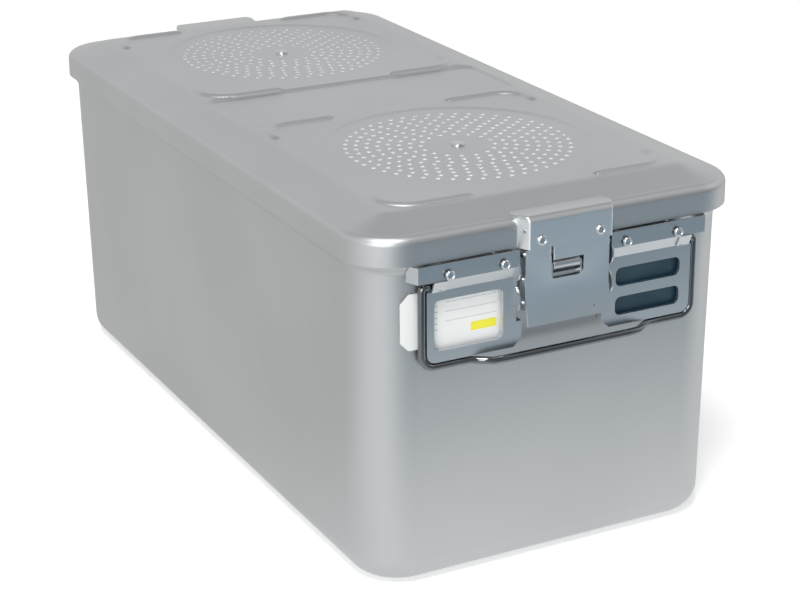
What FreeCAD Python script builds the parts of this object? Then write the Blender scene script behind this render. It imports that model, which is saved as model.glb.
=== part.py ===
import FreeCAD, Part
import math
import os

V = FreeCAD.Vector
os.makedirs("parts", exist_ok=True)

# A full-size sterilization container with its lid closed, in millimetres.
# +Z is up, X runs across the box and Y along it. The end with the label faces -Y.
# The origin is the middle of the footprint, on the surface that the box stands on.

# Tub: a deep-drawn aluminium box whose walls lean out a little towards the top
TUB_WIDTH = 272.4
TUB_LENGTH = 560.4
TUB_HEIGHT = 238.0
TUB_CORNER = 36.0
TUB_WALL = 2.0
TUB_DRAFT = 0.0119
TUB_FLOOR_RADIUS = 17.5
TUB_FLOOR_INNER = 11.5
STRAIGHT_TOP = 20.0
COLLAR_HEIGHT = 9.5
FLARE_HEIGHT = 5.7
FLARE_OUT = 3.1

# Lid: a drawn aluminium cover with a sloped crown and two perforated fields
LID_SHEET = 1.5
LID_SIDE_ROOM = 0.8
LID_END_ROOM = 1.8
LID_OVERLAP = 8.7
SKIRT_HEIGHT = 19.3
LID_EDGE_RADIUS = 6.0
LID_EDGE_INNER = 3.0
CROWN_HEIGHT = 7.4
CROWN_SLOPE_RUN = 26.0
VALLEY_WIDTH = 74.0
VALLEY_DEPTH = 1.8
VALLEY_SIDE = 3.0
FIELD_END_ROOM = 141.5135
FIELD_RING_RADII = (32.0, 55.0, 78.0)
FIELD_HOLE_STEP = 22.0
FIELD_HOLE = 4.6
NUB_HEIGHT = 1.8
NUB_WIDTH = 9.0
NUB_REACH_X = 105.0
NUB_REACH_Y = 103.0
NUB_BEND = 20.0
NUB_ARM_X = 36.0
NUB_ARM_Y = 8.0

# Seal, filters and their retainers, all carried inside the lid
GASKET_WIDTH = 4.6
GASKET_HEIGHT = 6.0
FILTER_RADIUS = 86.0
FILTER_THICKNESS = 1.0
RETAINER_RADIUS = 91.0
RETAINER_SHEET = 1.2
RETAINER_SLOTS = 6
RETAINER_SLOT_INNER = 34.0
RETAINER_SLOT_OUTER = 80.0
RETAINER_SLOT_WIDTH = 18.0
HUB_RADIUS = 9.0
HUB_WING = 24.0
HUB_HEIGHT = 7.0
STUD_RADIUS = 4.0
STUD_DROP = 12.0
STUD_HEAD_RADIUS = 5.5
STUD_HEAD_HEIGHT = 0.8

# End plate: one stainless pressing with a raised strip, a label frame and a tag frame
PLATE_SHEET = 1.2
PLATE_STANDOFF = 5.6
PLATE_HEIGHT = 67.5
STRIP_STANDOFF = 9.4
STRIP_HALF = 108.0
STRIP_DROP = 0.8
STRIP_HEIGHT = 11.2
STRIP_SLOPE = 7.8
STRIP_SIDE_LEAN = 4.0
FRAME_HALF = 100.0
FRAME_CORNER = 6.0
FOOT_HALF = 30.5
FOOT_HEIGHT = 17.5
FOOT_CHAMFER = 6.0
BAY_HALF = 34.6
BAY_DROP = 8.5
BAY_HEIGHT = 36.0
NOTCH_WIDTH = 12.5
LABEL_LEFT = -94.8
LABEL_WIDTH = 50.4
LABEL_HEIGHT = 34.6
LABEL_SILL = 7.6
WINDOW_CORNER = 4.0
WINDOW_RIM = 2.4
SLOT_LEFT = 41.0
SLOT_WIDTH = 50.6
SLOT_HEIGHT = 13.0
SLOT_SILLS = (27.4, 7.0)
EAR_HEIGHT = 11.0
EAR_LOBE = 10.5
EAR_LOBE_DROP = 5.8
EAR_LOBE_RISE = 9.5
LUG_X = 92.0
LUG_THICKNESS = 2.4
LUG_WALL = 1.4
LUG_RISE = 5.0
PLATE_RIVET_X = (-86.0, -46.0, 46.0, 86.0)
PLATE_RIVET_DROP = 7.6
RIVET_HEAD_RADIUS = 3.4
RIVET_HEAD_HEIGHT = 1.7
RIVET_HEAD_CHAMFER = 1.2
RIVET_SHANK = 2.2
RIVET_TAIL = 1.2

# Bail handle of steel wire, hung in two lugs behind the end plate
WIRE_RADIUS = 2.6
HANDLE_SIDE_ROOM = 0.4
HANDLE_PIVOT_DROP = 4.0
HANDLE_DROP = 55.8
HANDLE_CORNER = 9.0
HANDLE_END = 14.5
GRIP_HALF = 52.5
GRIP_JOG = 18.0
GRIP_OUT = 9.5

# Latch: a flap hinged under the lid's hood, with a roller that sits under a spring catch
HOOD_HALF = 31.0
HOOD_FLARE = 4.5
HOOD_DEPTH = 9.0
HOOD_RISE = 2.6
HOOD_SHEET = 1.2
HOOD_BACK = 8.0
HOOD_EDGE = 4.0
HOOD_RIVET_X = 22.0
HOOD_RIVET_RISE = 5.5
HOOD_PIN_RADIUS = 1.6
HOOD_PIN_RISE = 12.0
HOOD_PIN_DEPTH = 4.8
HINGE_DROP = 5.1
HINGE_DEPTH = 2.0
HINGE_PIN_RADIUS = 1.5
LEAF_HALF = 10.8
LEAF_SHEET = 1.2
FLAP_HALF = 31.5
FLAP_SHEET = 1.2
FLAP_DEPTH = 7.2
FLAP_FACE = 5.0
FLAP_DROP = 1.5
FLAP_HEIGHT = 48.3
FLAP_LIP_HEIGHT = 17.5
FLAP_LIP_OUT = 3.6
FLAP_FLANGE_RISE = 7.0
FLAP_FLANGE_CUT = 4.0
FLAP_EYE = 3.4
FLAP_WINDOW_HALF = 12.2
FLAP_WINDOW_RISE = 25.7
FLAP_WINDOW_CORNER = 3.0
FLAP_SEAL_HOLE = 1.1
FLAP_SEAL_X = 19.5
FLAP_SEAL_RISE = 3.4
ROCKER_DROP = 17.3
ROCKER_DEPTH = 1.0
ROCKER_SHEET = 1.2
ROCKER_EYE = 2.7
ROCKER_TAIL = 6.0
ROCKER_TAIL_FRONT = 1.6
ROCKER_WEB_GAP = 1.0
STOP_PIN_DROP = 33.2
PIN_RADIUS = 1.4
PIN_PROUD = 0.7
ROLLER_RISE = 7.0
ROLLER_RADIUS = 3.5
ROLLER_HALF = 10.0
SPRING_RADIUS = 2.5
SPRING_LENGTH = 6.0
CATCH_HALF = 8.0
CATCH_SHEET = 0.8
CATCH_NOSE = 5.2
CATCH_GAP = 0.4
CATCH_LENGTH = 19.0

# Card and tags that slide in behind the end plate
CARD_THICKNESS = 0.3
CARD_LEFT = -116.5
CARD_LAP = 3.4
CARD_SILL = 2.0
CARD_HEIGHT = 38.2
CARD_CHAMFER = 6.0
TAG_LAP_LEFT = 1.5
TAG_LAP_RIGHT = 4.9
TAG_HEIGHT = 18.4

# Clearances
SEAT = 0.3
RUNNING = 0.05

# How many flat sides stand for a round form
PIN_SIDES = 8
RIVET_SIDES = 4
LOBE_SIDES = 16
DISC_SIDES = 36
CORNER_STEPS = 3
PLAN_STEPS = 5

# Heights worked out from the sizes above
FLARE_START = TUB_HEIGHT - COLLAR_HEIGHT - FLARE_HEIGHT
SKIRT_BOTTOM = TUB_HEIGHT - LID_OVERLAP
SKIRT_TOP = SKIRT_BOTTOM + SKIRT_HEIGHT
CROWN_TOP = SKIRT_TOP + CROWN_HEIGHT
STRIP_TOP = SKIRT_BOTTOM - STRIP_DROP
STRIP_BOTTOM = STRIP_TOP - STRIP_HEIGHT
SLOPE_END = STRIP_BOTTOM - STRIP_SLOPE
FRAME_BOTTOM = STRIP_TOP - PLATE_HEIGHT
FOOT_TOP = FRAME_BOTTOM + FOOT_HEIGHT
BAY_TOP = STRIP_TOP - BAY_DROP
BAY_BOTTOM = BAY_TOP - BAY_HEIGHT
LABEL_BOTTOM = FRAME_BOTTOM + LABEL_SILL
SLOT_BOTTOMS = tuple(FRAME_BOTTOM + sill for sill in SLOT_SILLS)
PLATE_RIVET_Z = STRIP_TOP - PLATE_RIVET_DROP
HANDLE_PIVOT_Z = STRIP_BOTTOM - HANDLE_PIVOT_DROP
HOOD_TOP = SKIRT_TOP + HOOD_RISE
HOOD_RIVET_Z = SKIRT_BOTTOM + HOOD_RIVET_RISE
HOOD_PIN_Z = SKIRT_BOTTOM + HOOD_PIN_RISE
HINGE_Z = SKIRT_BOTTOM - HINGE_DROP
FLAP_TOP = SKIRT_BOTTOM - FLAP_DROP
FLAP_BOTTOM = FLAP_TOP - FLAP_HEIGHT
FLAP_LIP_Z = FLAP_BOTTOM + FLAP_LIP_HEIGHT
FLAP_FLANGE_BOTTOM = FLAP_BOTTOM + FLAP_FLANGE_RISE
FLAP_WINDOW_BOTTOM = FLAP_BOTTOM + FLAP_WINDOW_RISE
ROCKER_Z = HINGE_Z - ROCKER_DROP
STOP_PIN_Z = HINGE_Z - STOP_PIN_DROP
ROLLER_Z = ROCKER_Z + ROLLER_RISE
CARD_BOTTOM = LABEL_BOTTOM + CARD_SILL

# Places across and along the box worked out from the sizes above
TUB_LEAN = TUB_DRAFT * (FLARE_START - STRAIGHT_TOP)
COLLAR_OUT = TUB_LEAN + FLARE_OUT
LID_WIDTH = TUB_WIDTH + 2 * (COLLAR_OUT + LID_SIDE_ROOM + LID_SHEET)
LID_LENGTH = TUB_LENGTH + 2 * (COLLAR_OUT + LID_END_ROOM + LID_SHEET)
LID_CORNER = TUB_CORNER + LID_SHEET
LABEL_RIGHT = LABEL_LEFT + LABEL_WIDTH
SLOT_RIGHT = SLOT_LEFT + SLOT_WIDTH
WALL_Y = -(TUB_LENGTH / 2 + TUB_LEAN)
SKIRT_Y = -LID_LENGTH / 2
FIELD_Y = LID_LENGTH / 2 - FIELD_END_ROOM
HANDLE_HALF = FRAME_HALF + HANDLE_SIDE_ROOM + WIRE_RADIUS
PLATE_Y = WALL_Y - PLATE_STANDOFF
STRIP_Y = WALL_Y - STRIP_STANDOFF
HOOD_Y = SKIRT_Y - HOOD_DEPTH
HINGE_Y = SKIRT_Y - HINGE_DEPTH
FLAP_Y = SKIRT_Y - FLAP_FACE
ROCKER_Y = SKIRT_Y - ROCKER_DEPTH
CARD_Y = WALL_Y - SEAT - CARD_THICKNESS
HANDLE_Y = CARD_Y - SEAT - WIRE_RADIUS
CATCH_BACK = WALL_Y - SEAT - PLATE_SHEET


def box(x0, x1, y0, y1, z0, z1):
    return Part.makeBox(x1 - x0, y1 - y0, z1 - z0, V(x0, y0, z0))


def span_box(x0, x1, y0, y1, z0, z1):
    # The same, with the limits in any order
    (x0, x1), (y0, y1) = sorted((x0, x1)), sorted((y0, y1))
    return box(x0, x1, y0, y1, z0, z1)


def rod_z(radius, x, y, z0, z1):
    return Part.makeCylinder(radius, z1 - z0, V(x, y, z0), V(0, 0, 1))


def polygon(radius, sides):
    # Corners of a regular polygon, with a flat side towards each axis
    step = 2 * math.pi / sides
    return [(radius * math.cos(step * (i + 0.5)), radius * math.sin(step * (i + 0.5))) for i in range(sides)]


def quarter(a, b, radius, start, steps):
    # Corners along a quarter turn that begins at the angle start, in degrees
    turns = [math.radians(start + 90.0 * i / steps) for i in range(steps + 1)]
    return [(a + radius * math.cos(turn), b + radius * math.sin(turn)) for turn in turns]


def rounded(a0, a1, b0, b1, radius, steps):
    # Corners of a rectangle whose four corners are rounded with a few flats each
    points = []
    for a, b, start in ((a1 - radius, b1 - radius, 0), (a0 + radius, b1 - radius, 90),
                        (a0 + radius, b0 + radius, 180), (a1 - radius, b0 + radius, 270)):
        points += quarter(a, b, radius, start, steps)
    return points


def pin_x(radius, x0, x1, y, z, sides=PIN_SIDES):
    # Pins, rivets and wires have flat sides, which keeps the face count low
    return side_profile([(y + a, z + b) for a, b in polygon(radius, sides)], x0, x1)


def bore_x(radius, x0, x1, y, z):
    # A hole whose flat sides clear a pin of this radius as the pin turns
    return pin_x((radius + RUNNING) / math.cos(math.pi / PIN_SIDES), x0, x1, y, z)


def pin_y(radius, x, y0, y1, z, sides=PIN_SIDES):
    return front_profile([(x + a, z + b) for a, b in polygon(radius, sides)], y0, y1)


def pin_z(radius, x, y, z0, z1):
    return plan_profile([(x + a, y + b) for a, b in polygon(radius, PIN_SIDES)], z0, z1)


def flared_block(width, length, corner, z0, z1, lean, concentric=False):
    # A block with rounded corners whose sides lean outwards by lean over its height.
    # The corners keep their radius, or keep their middles and become cones
    mid_x = width / 2 - corner
    mid_y = length / 2 - corner
    pieces = [side_profile([(-length / 2, z0), (length / 2, z0), (length / 2 + lean, z1),
                            (-length / 2 - lean, z1)], -mid_x, mid_x),
              front_profile([(-width / 2, z0), (width / 2, z0), (width / 2 + lean, z1),
                             (-width / 2 - lean, z1)], -mid_y, mid_y)]
    for side_x in (-1, 1):
        for side_y in (-1, 1):
            centre = V(side_x * mid_x, side_y * mid_y, z0)
            if concentric:
                up = V(0, 0, 1 if z1 > z0 else -1)
                pieces.append(Part.makeCone(corner, corner + lean, abs(z1 - z0), centre, up))
            else:
                disc = Part.Face(Part.Wire(Part.makeCircle(corner, centre)))
                pieces.append(disc.extrude(V(side_x * lean, side_y * lean, z1 - z0)))
    return join(pieces)


def rounded_edge(width, length, corner, z, radius, up):
    # The rounded edge round the flat end of a block at height z, in two sloped bands.
    # up is 1 where the block lies above its end and -1 where it lies below
    first = radius * (1 - math.sqrt(0.5))
    bands = ((radius, first, 0.0, first), (first, 0.0, first, radius))
    return [flared_block(width - 2 * near, length - 2 * near, corner - near, z + up * start, z + up * end,
                         near - far, concentric=True) for near, far, start, end in bands]


def side_profile(points, x0, x1):
    # A closed outline in the YZ plane, extruded along X
    corners = [V(x0, y, z) for y, z in points]
    return Part.Face(Part.makePolygon(corners + corners[:1])).extrude(V(x1 - x0, 0, 0))


def front_profile(points, y0, y1):
    # A closed outline in the XZ plane, extruded along Y
    corners = [V(x, y0, z) for x, z in points]
    return Part.Face(Part.makePolygon(corners + corners[:1])).extrude(V(0, y1 - y0, 0))


def plan_profile(points, z0, z1):
    # A closed outline in the XY plane, extruded along Z
    corners = [V(x, y, z0) for x, y in points]
    return Part.Face(Part.makePolygon(corners + corners[:1])).extrude(V(0, 0, z1 - z0))


def join(pieces):
    solid = pieces[0].fuse(pieces[1:]).removeSplitter()
    return solid.Solids[0] if len(solid.Solids) == 1 else solid


def to_rear(shape):
    turned = shape.copy()
    turned.rotate(V(0, 0, 0), V(0, 0, 1), 180)
    return turned


def tub_form(inset, clearance=0.0):
    # The drawn outer surface moved inwards by inset, or outwards by clearance
    grow = clearance - inset
    width = TUB_WIDTH + 2 * grow
    length = TUB_LENGTH + 2 * grow
    corner = TUB_CORNER + grow
    if inset:
        edge = TUB_FLOOR_INNER
        pieces = [flared_block(width - 2 * edge, length - 2 * edge, corner - edge, inset, inset + edge, edge,
                               concentric=True)]
    else:
        edge = TUB_FLOOR_RADIUS
        pieces = rounded_edge(width, length, corner, inset, edge, 1)
    flare_top = FLARE_START + FLARE_HEIGHT
    out = 2 * COLLAR_OUT
    pieces += [flared_block(width, length, corner, inset + edge, STRAIGHT_TOP, 0),
               flared_block(width, length, corner, STRAIGHT_TOP, FLARE_START, TUB_LEAN),
               flared_block(width + 2 * TUB_LEAN, length + 2 * TUB_LEAN, corner, FLARE_START, flare_top,
                            FLARE_OUT),
               flared_block(width + out, length + out, corner, flare_top, TUB_HEIGHT, 0)]
    return join(pieces)


def tub():
    shape = tub_form(0.0).cut(tub_form(TUB_WALL))
    holes = [pin_y(RIVET_SHANK + RUNNING, x, WALL_Y - 1, WALL_Y + TUB_WALL + 2, PLATE_RIVET_Z, RIVET_SIDES)
             for x in PLATE_RIVET_X]
    return shape.cut(holes + [to_rear(hole) for hole in holes]).Solids[0]


def crown(inset):
    # The sloped crown and the valley across it. Inside, flats stand for its round corners
    top = CROWN_TOP - inset
    base = SKIRT_TOP - inset
    rim = LID_EDGE_RADIUS + inset
    width = LID_WIDTH - 2 * rim
    length = LID_LENGTH - 2 * rim
    corner = LID_CORNER - rim
    if inset:
        rings = []
        for z, run in ((base, 0.0), (top, CROWN_SLOPE_RUN)):
            half_x = width / 2 - run
            half_y = length / 2 - run
            points = rounded(-half_x, half_x, -half_y, half_y, corner - run, PLAN_STEPS)
            rings.append(Part.makePolygon([V(x, y, z) for x, y in points + points[:1]]))
        shape = Part.makeLoft(rings, True, True)
    else:
        shape = flared_block(width, length, corner, base, top, -CROWN_SLOPE_RUN, concentric=True)
    half = VALLEY_WIDTH / 2 + inset
    floor = top - VALLEY_DEPTH
    over = top + 1
    valley = side_profile([(-half - VALLEY_SIDE, top), (-half, floor), (half, floor), (half + VALLEY_SIDE, top),
                           (half + VALLEY_SIDE, over), (-half - VALLEY_SIDE, over)],
                          -LID_WIDTH / 2, LID_WIDTH / 2)
    return shape.cut(valley)


def lid_outside():
    skirt = flared_block(LID_WIDTH, LID_LENGTH, LID_CORNER, SKIRT_BOTTOM, SKIRT_TOP - LID_EDGE_RADIUS, 0)
    edge = rounded_edge(LID_WIDTH, LID_LENGTH, LID_CORNER, SKIRT_TOP, LID_EDGE_RADIUS, -1)
    return join([skirt, crown(0.0)] + edge)


def lid_inside():
    width = LID_WIDTH - 2 * LID_SHEET
    length = LID_LENGTH - 2 * LID_SHEET
    corner = LID_CORNER - LID_SHEET
    top = SKIRT_TOP - LID_SHEET
    bend = top - LID_EDGE_INNER
    skirt = flared_block(width, length, corner, SKIRT_BOTTOM - 1, bend, 0)
    edge = flared_block(width, length, corner, bend, top, -LID_EDGE_INNER, concentric=True)
    return join([skirt, edge, crown(LID_SHEET)])


def nub(side_x, side_y, field_y):
    # One stacking nub: a bar along X that bends round and ends short along Y
    half = NUB_WIDTH / 2
    bend_x = side_x * (NUB_REACH_X - NUB_BEND)
    bend_y = field_y + side_y * (NUB_REACH_Y - NUB_BEND)
    z0 = CROWN_TOP - LID_SHEET
    z1 = CROWN_TOP + NUB_HEIGHT
    far = NUB_BEND + half
    near = NUB_BEND - half
    ring = rod_z(far, bend_x, bend_y, z0, z1).cut(rod_z(near, bend_x, bend_y, z0, z1))
    quarter = ring.common(span_box(bend_x, bend_x + side_x * far, bend_y, bend_y + side_y * far, z0, z1))
    arm_x = span_box(bend_x - side_x * NUB_ARM_X, bend_x, bend_y + side_y * near, bend_y + side_y * far, z0, z1)
    arm_y = span_box(bend_x + side_x * near, bend_x + side_x * far, bend_y - side_y * NUB_ARM_Y, bend_y, z0, z1)
    return join([quarter, arm_x, arm_y])


def perforations(field_y):
    # Holes in rings about the stud. Four sides each keep the face count low
    holes = []
    half = FIELD_HOLE / 2
    for radius in FIELD_RING_RADII:
        count = round(2 * math.pi * radius / FIELD_HOLE_STEP)
        for index in range(count):
            hole = box(radius - half, radius + half, -half, half, CROWN_TOP - LID_SHEET - 1, CROWN_TOP + 1)
            hole.rotate(V(0, 0, 0), V(0, 0, 1), 360.0 * index / count)
            hole.translate(V(0, field_y, 0))
            holes.append(hole)
    return holes


def lid():
    shape = lid_outside().cut(lid_inside())
    nubs = [nub(side_x, side_y, field_y) for field_y in (-FIELD_Y, FIELD_Y)
            for side_x in (-1, 1) for side_y in (-1, 1)]
    cutters = []
    for field_y in (-FIELD_Y, FIELD_Y):
        cutters += perforations(field_y)
        cutters.append(pin_z(STUD_RADIUS + RUNNING, 0, field_y, CROWN_TOP - LID_SHEET - 1, CROWN_TOP + 1))
    for x in (-HOOD_RIVET_X, HOOD_RIVET_X):
        hole = pin_y(RIVET_SHANK + RUNNING, x, SKIRT_Y - 1, SKIRT_Y + LID_SHEET + 1, HOOD_RIVET_Z, RIVET_SIDES)
        cutters += [hole, to_rear(hole)]
    return shape.fuse(nubs).cut(Part.makeCompound(cutters)).Solids[0]


def lid_gasket():
    # A silicone profile held in the corner of the lid, resting on the collar of the tub
    width = LID_WIDTH - 2 * (LID_SHEET + SEAT)
    length = LID_LENGTH - 2 * (LID_SHEET + SEAT)
    corner = LID_CORNER - LID_SHEET
    z0 = TUB_HEIGHT + SEAT
    z1 = z0 + GASKET_HEIGHT
    rings = []
    for inset in (0.0, GASKET_WIDTH):
        a = width / 2 - inset
        b = length / 2 - inset
        rings.append(plan_profile(rounded(-a, a, -b, b, corner - inset, PLAN_STEPS), z0, z1))
    return rings[0].cut(rings[1])


def disc(radius, z0, z1):
    return plan_profile([(a, b - FIELD_Y) for a, b in polygon(radius, DISC_SIDES)], z0, z1)


def filter_disc():
    z1 = CROWN_TOP - LID_SHEET - SEAT
    z0 = z1 - FILTER_THICKNESS
    return disc(FILTER_RADIUS, z0, z1).cut(pin_z(STUD_RADIUS + SEAT, 0, -FIELD_Y, z0, z1))


def retainer():
    # A slotted plate under the filter, with a winged hub that slides on the stud
    z1 = CROWN_TOP - LID_SHEET - 2 * SEAT - FILTER_THICKNESS
    z0 = z1 - RETAINER_SHEET
    foot = z0 - HUB_HEIGHT
    wing = box(-HUB_WING, HUB_WING, -FIELD_Y - RETAINER_SHEET, -FIELD_Y + RETAINER_SHEET, foot, z0)
    shape = join([disc(RETAINER_RADIUS, z0, z1), pin_z(HUB_RADIUS, 0, -FIELD_Y, foot, z0), wing])
    holes = [pin_z(STUD_RADIUS + RUNNING, 0, -FIELD_Y, foot, z1)]
    for index in range(RETAINER_SLOTS):
        slot = box(RETAINER_SLOT_INNER, RETAINER_SLOT_OUTER, -RETAINER_SLOT_WIDTH / 2, RETAINER_SLOT_WIDTH / 2,
                   z0, z1)
        slot.rotate(V(0, 0, 0), V(0, 0, 1), 360.0 * (index + 0.5) / RETAINER_SLOTS)
        slot.translate(V(0, -FIELD_Y, 0))
        holes.append(slot)
    return shape.cut(holes).Solids[0]


def retainer_stud():
    shank = pin_z(STUD_RADIUS, 0, -FIELD_Y, CROWN_TOP - LID_SHEET - STUD_DROP, CROWN_TOP)
    head = pin_z(STUD_HEAD_RADIUS, 0, -FIELD_Y, CROWN_TOP, CROWN_TOP + STUD_HEAD_HEIGHT)
    return join([shank, head])


def ear(side):
    # A cheek beside the latch, with one round lobe over another
    x = side * BAY_HALF
    x0, x1 = sorted((x, x + side * PLATE_SHEET))
    front = WALL_Y - EAR_HEIGHT
    lobes = [pin_x(EAR_LOBE, x0, x1, front + EAR_LOBE, z, LOBE_SIDES)
             for z in (BAY_TOP - EAR_LOBE_DROP, BAY_BOTTOM + EAR_LOBE_RISE)]
    web = box(x0, x1, front + EAR_LOBE / 2, WALL_Y, BAY_BOTTOM, BAY_TOP)
    return join(lobes + [web]).common(box(x0, x1, front - SEAT, WALL_Y, BAY_BOTTOM, STRIP_TOP))


def tray(side, inset):
    # One of the two frames beside the latch, with a foot that reaches in under it
    inner = BAY_HALF + inset
    outer = FRAME_HALF - inset
    foot = FOOT_HALF + inset
    low = FRAME_BOTTOM + inset
    radius = FRAME_CORNER - inset
    outline = [(outer, SLOPE_END), (inner, SLOPE_END), (inner, FOOT_TOP - inset), (foot, FOOT_TOP - inset),
               (foot, low + FOOT_CHAMFER), (foot + FOOT_CHAMFER, low)]
    outline += quarter(outer - radius, low + radius, radius, 270, CORNER_STEPS)
    return front_profile([(side * x, z) for x, z in outline], PLATE_Y + inset, WALL_Y + SEAT)


def strip():
    # The raised strip along the top, its slope down to the frames and its ends back to the wall
    t = PLATE_SHEET
    pieces = [side_profile([(STRIP_Y, STRIP_TOP), (STRIP_Y, STRIP_BOTTOM), (PLATE_Y, SLOPE_END),
                            (PLATE_Y + t, SLOPE_END), (STRIP_Y + t, STRIP_BOTTOM), (STRIP_Y + t, STRIP_TOP)],
                           -FRAME_HALF, FRAME_HALF)]
    for side in (-1, 1):
        tip = side * STRIP_HALF
        lean = tip + side * STRIP_SIDE_LEAN
        pieces.append(span_box(side * FRAME_HALF, tip, STRIP_Y, STRIP_Y + t, STRIP_BOTTOM, STRIP_TOP))
        pieces.append(plan_profile([(tip, STRIP_Y), (tip - side * t, STRIP_Y), (lean - side * t, WALL_Y),
                                    (lean, WALL_Y)], STRIP_BOTTOM, STRIP_TOP))
    return pieces


def handle_lug(side):
    # A lug behind the strip that carries one end of the handle
    front = HANDLE_Y - WIRE_RADIUS - LUG_WALL
    low = HANDLE_PIVOT_Z - WIRE_RADIUS - LUG_WALL
    x0, x1 = sorted((side * LUG_X, side * (LUG_X - LUG_THICKNESS)))
    lug = side_profile([(STRIP_Y + PLATE_SHEET, STRIP_BOTTOM + LUG_RISE), (STRIP_Y + PLATE_SHEET, STRIP_BOTTOM),
                        (front, low), (WALL_Y, low), (WALL_Y, STRIP_BOTTOM + LUG_RISE)], x0, x1)
    return lug.cut(bore_x(WIRE_RADIUS, x0, x1, HANDLE_Y, HANDLE_PIVOT_Z))


def plate_windows():
    # The label window and the two tag slots: (left, right, bottom, top)
    windows = [(LABEL_LEFT, LABEL_RIGHT, LABEL_BOTTOM, LABEL_BOTTOM + LABEL_HEIGHT)]
    return windows + [(SLOT_LEFT, SLOT_RIGHT, bottom, bottom + SLOT_HEIGHT) for bottom in SLOT_BOTTOMS]


def end_plate():
    t = PLATE_SHEET
    trays = [tray(side, 0).cut(tray(side, t)) for side in (-1, 1)]
    plate = join(strip() + trays)
    # The bay for the latch is open at the front and has a sunk back that carries the catch
    plate = plate.cut(box(-BAY_HALF, BAY_HALF, STRIP_Y, WALL_Y, SLOPE_END, STRIP_TOP))
    back = box(-BAY_HALF - t, BAY_HALF + t, CATCH_BACK, WALL_Y - SEAT, BAY_BOTTOM, BAY_TOP)
    rims = [box(left - t, right + t, PLATE_Y, PLATE_Y + WINDOW_RIM, bottom - t, top + t)
            for left, right, bottom, top in plate_windows()]
    cutters = [front_profile(rounded(*window, WINDOW_CORNER, CORNER_STEPS), PLATE_Y, PLATE_Y + WINDOW_RIM)
               for window in plate_windows()]
    for side in (-1, 1):
        cutters.append(span_box(side * (FRAME_HALF + 1), side * (FRAME_HALF - NOTCH_WIDTH), STRIP_Y, WALL_Y,
                                SLOPE_END, STRIP_BOTTOM))
    # Ways in for the card and the tags, between the side flanges and the wall
    lap = (TAG_HEIGHT - SLOT_HEIGHT) / 2 + SEAT
    way = CARD_Y - SEAT
    cutters += [box(CARD_LEFT, LABEL_RIGHT, way, WALL_Y, CARD_BOTTOM - SEAT, CARD_BOTTOM + CARD_HEIGHT + SEAT),
                box(SLOT_LEFT, FRAME_HALF + FRAME_CORNER, way, WALL_Y,
                    min(SLOT_BOTTOMS) - lap, max(SLOT_BOTTOMS) + SLOT_HEIGHT + lap)]
    cutters += [pin_y(RIVET_SHANK + RUNNING, x, STRIP_Y, STRIP_Y + t, PLATE_RIVET_Z, RIVET_SIDES)
                for x in PLATE_RIVET_X]
    plate = plate.fuse(rims).cut(cutters + [tub_form(0.0, SEAT)])
    plate = join([plate, back, ear(-1), ear(1), handle_lug(-1), handle_lug(1)])
    return plate.cut(tub_form(0.0, SEAT)).Solids[0]


def rivet(x, z, face, inner):
    # A domed head on the outer sheet and a square shank through to the inner one
    head = pin_y(RIVET_HEAD_RADIUS, x, face - RIVET_HEAD_HEIGHT, face, z)
    front = [e for e in head.Edges if all(v.Y < face - RIVET_HEAD_HEIGHT / 2 for v in e.Vertexes)]
    head = head.makeChamfer(RIVET_HEAD_CHAMFER, front)
    return join([head, pin_y(RIVET_SHANK, x, face, inner, z, RIVET_SIDES)])


def plate_rivets():
    inner = WALL_Y + TUB_WALL + RIVET_TAIL
    return Part.makeCompound([rivet(x, PLATE_RIVET_Z, STRIP_Y, inner) for x in PLATE_RIVET_X])


def handle():
    # One wire: pivot end, leg, bottom run with a cranked grip, leg, pivot end
    low = HANDLE_PIVOT_Z - HANDLE_DROP
    bend = quarter(HANDLE_HALF - HANDLE_CORNER, low + HANDLE_CORNER, HANDLE_CORNER, 270, CORNER_STEPS)
    half = [V(GRIP_HALF, HANDLE_Y - GRIP_OUT, low), V(GRIP_HALF + GRIP_JOG, HANDLE_Y, low)]
    half += [V(x, HANDLE_Y, z) for x, z in bend]
    half += [V(HANDLE_HALF, HANDLE_Y, HANDLE_PIVOT_Z), V(HANDLE_HALF - HANDLE_END, HANDLE_Y, HANDLE_PIVOT_Z)]
    other = [V(-p.x, p.y, p.z) for p in reversed(half)]
    start = other[0].x
    corners = [V(start, HANDLE_Y + a, HANDLE_PIVOT_Z + b) for a, b in polygon(WIRE_RADIUS, PIN_SIDES)]
    section = Part.makePolygon(corners + corners[:1])
    return Part.makePolygon(other + half).makePipeShell([section], True, False, 1)


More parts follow.
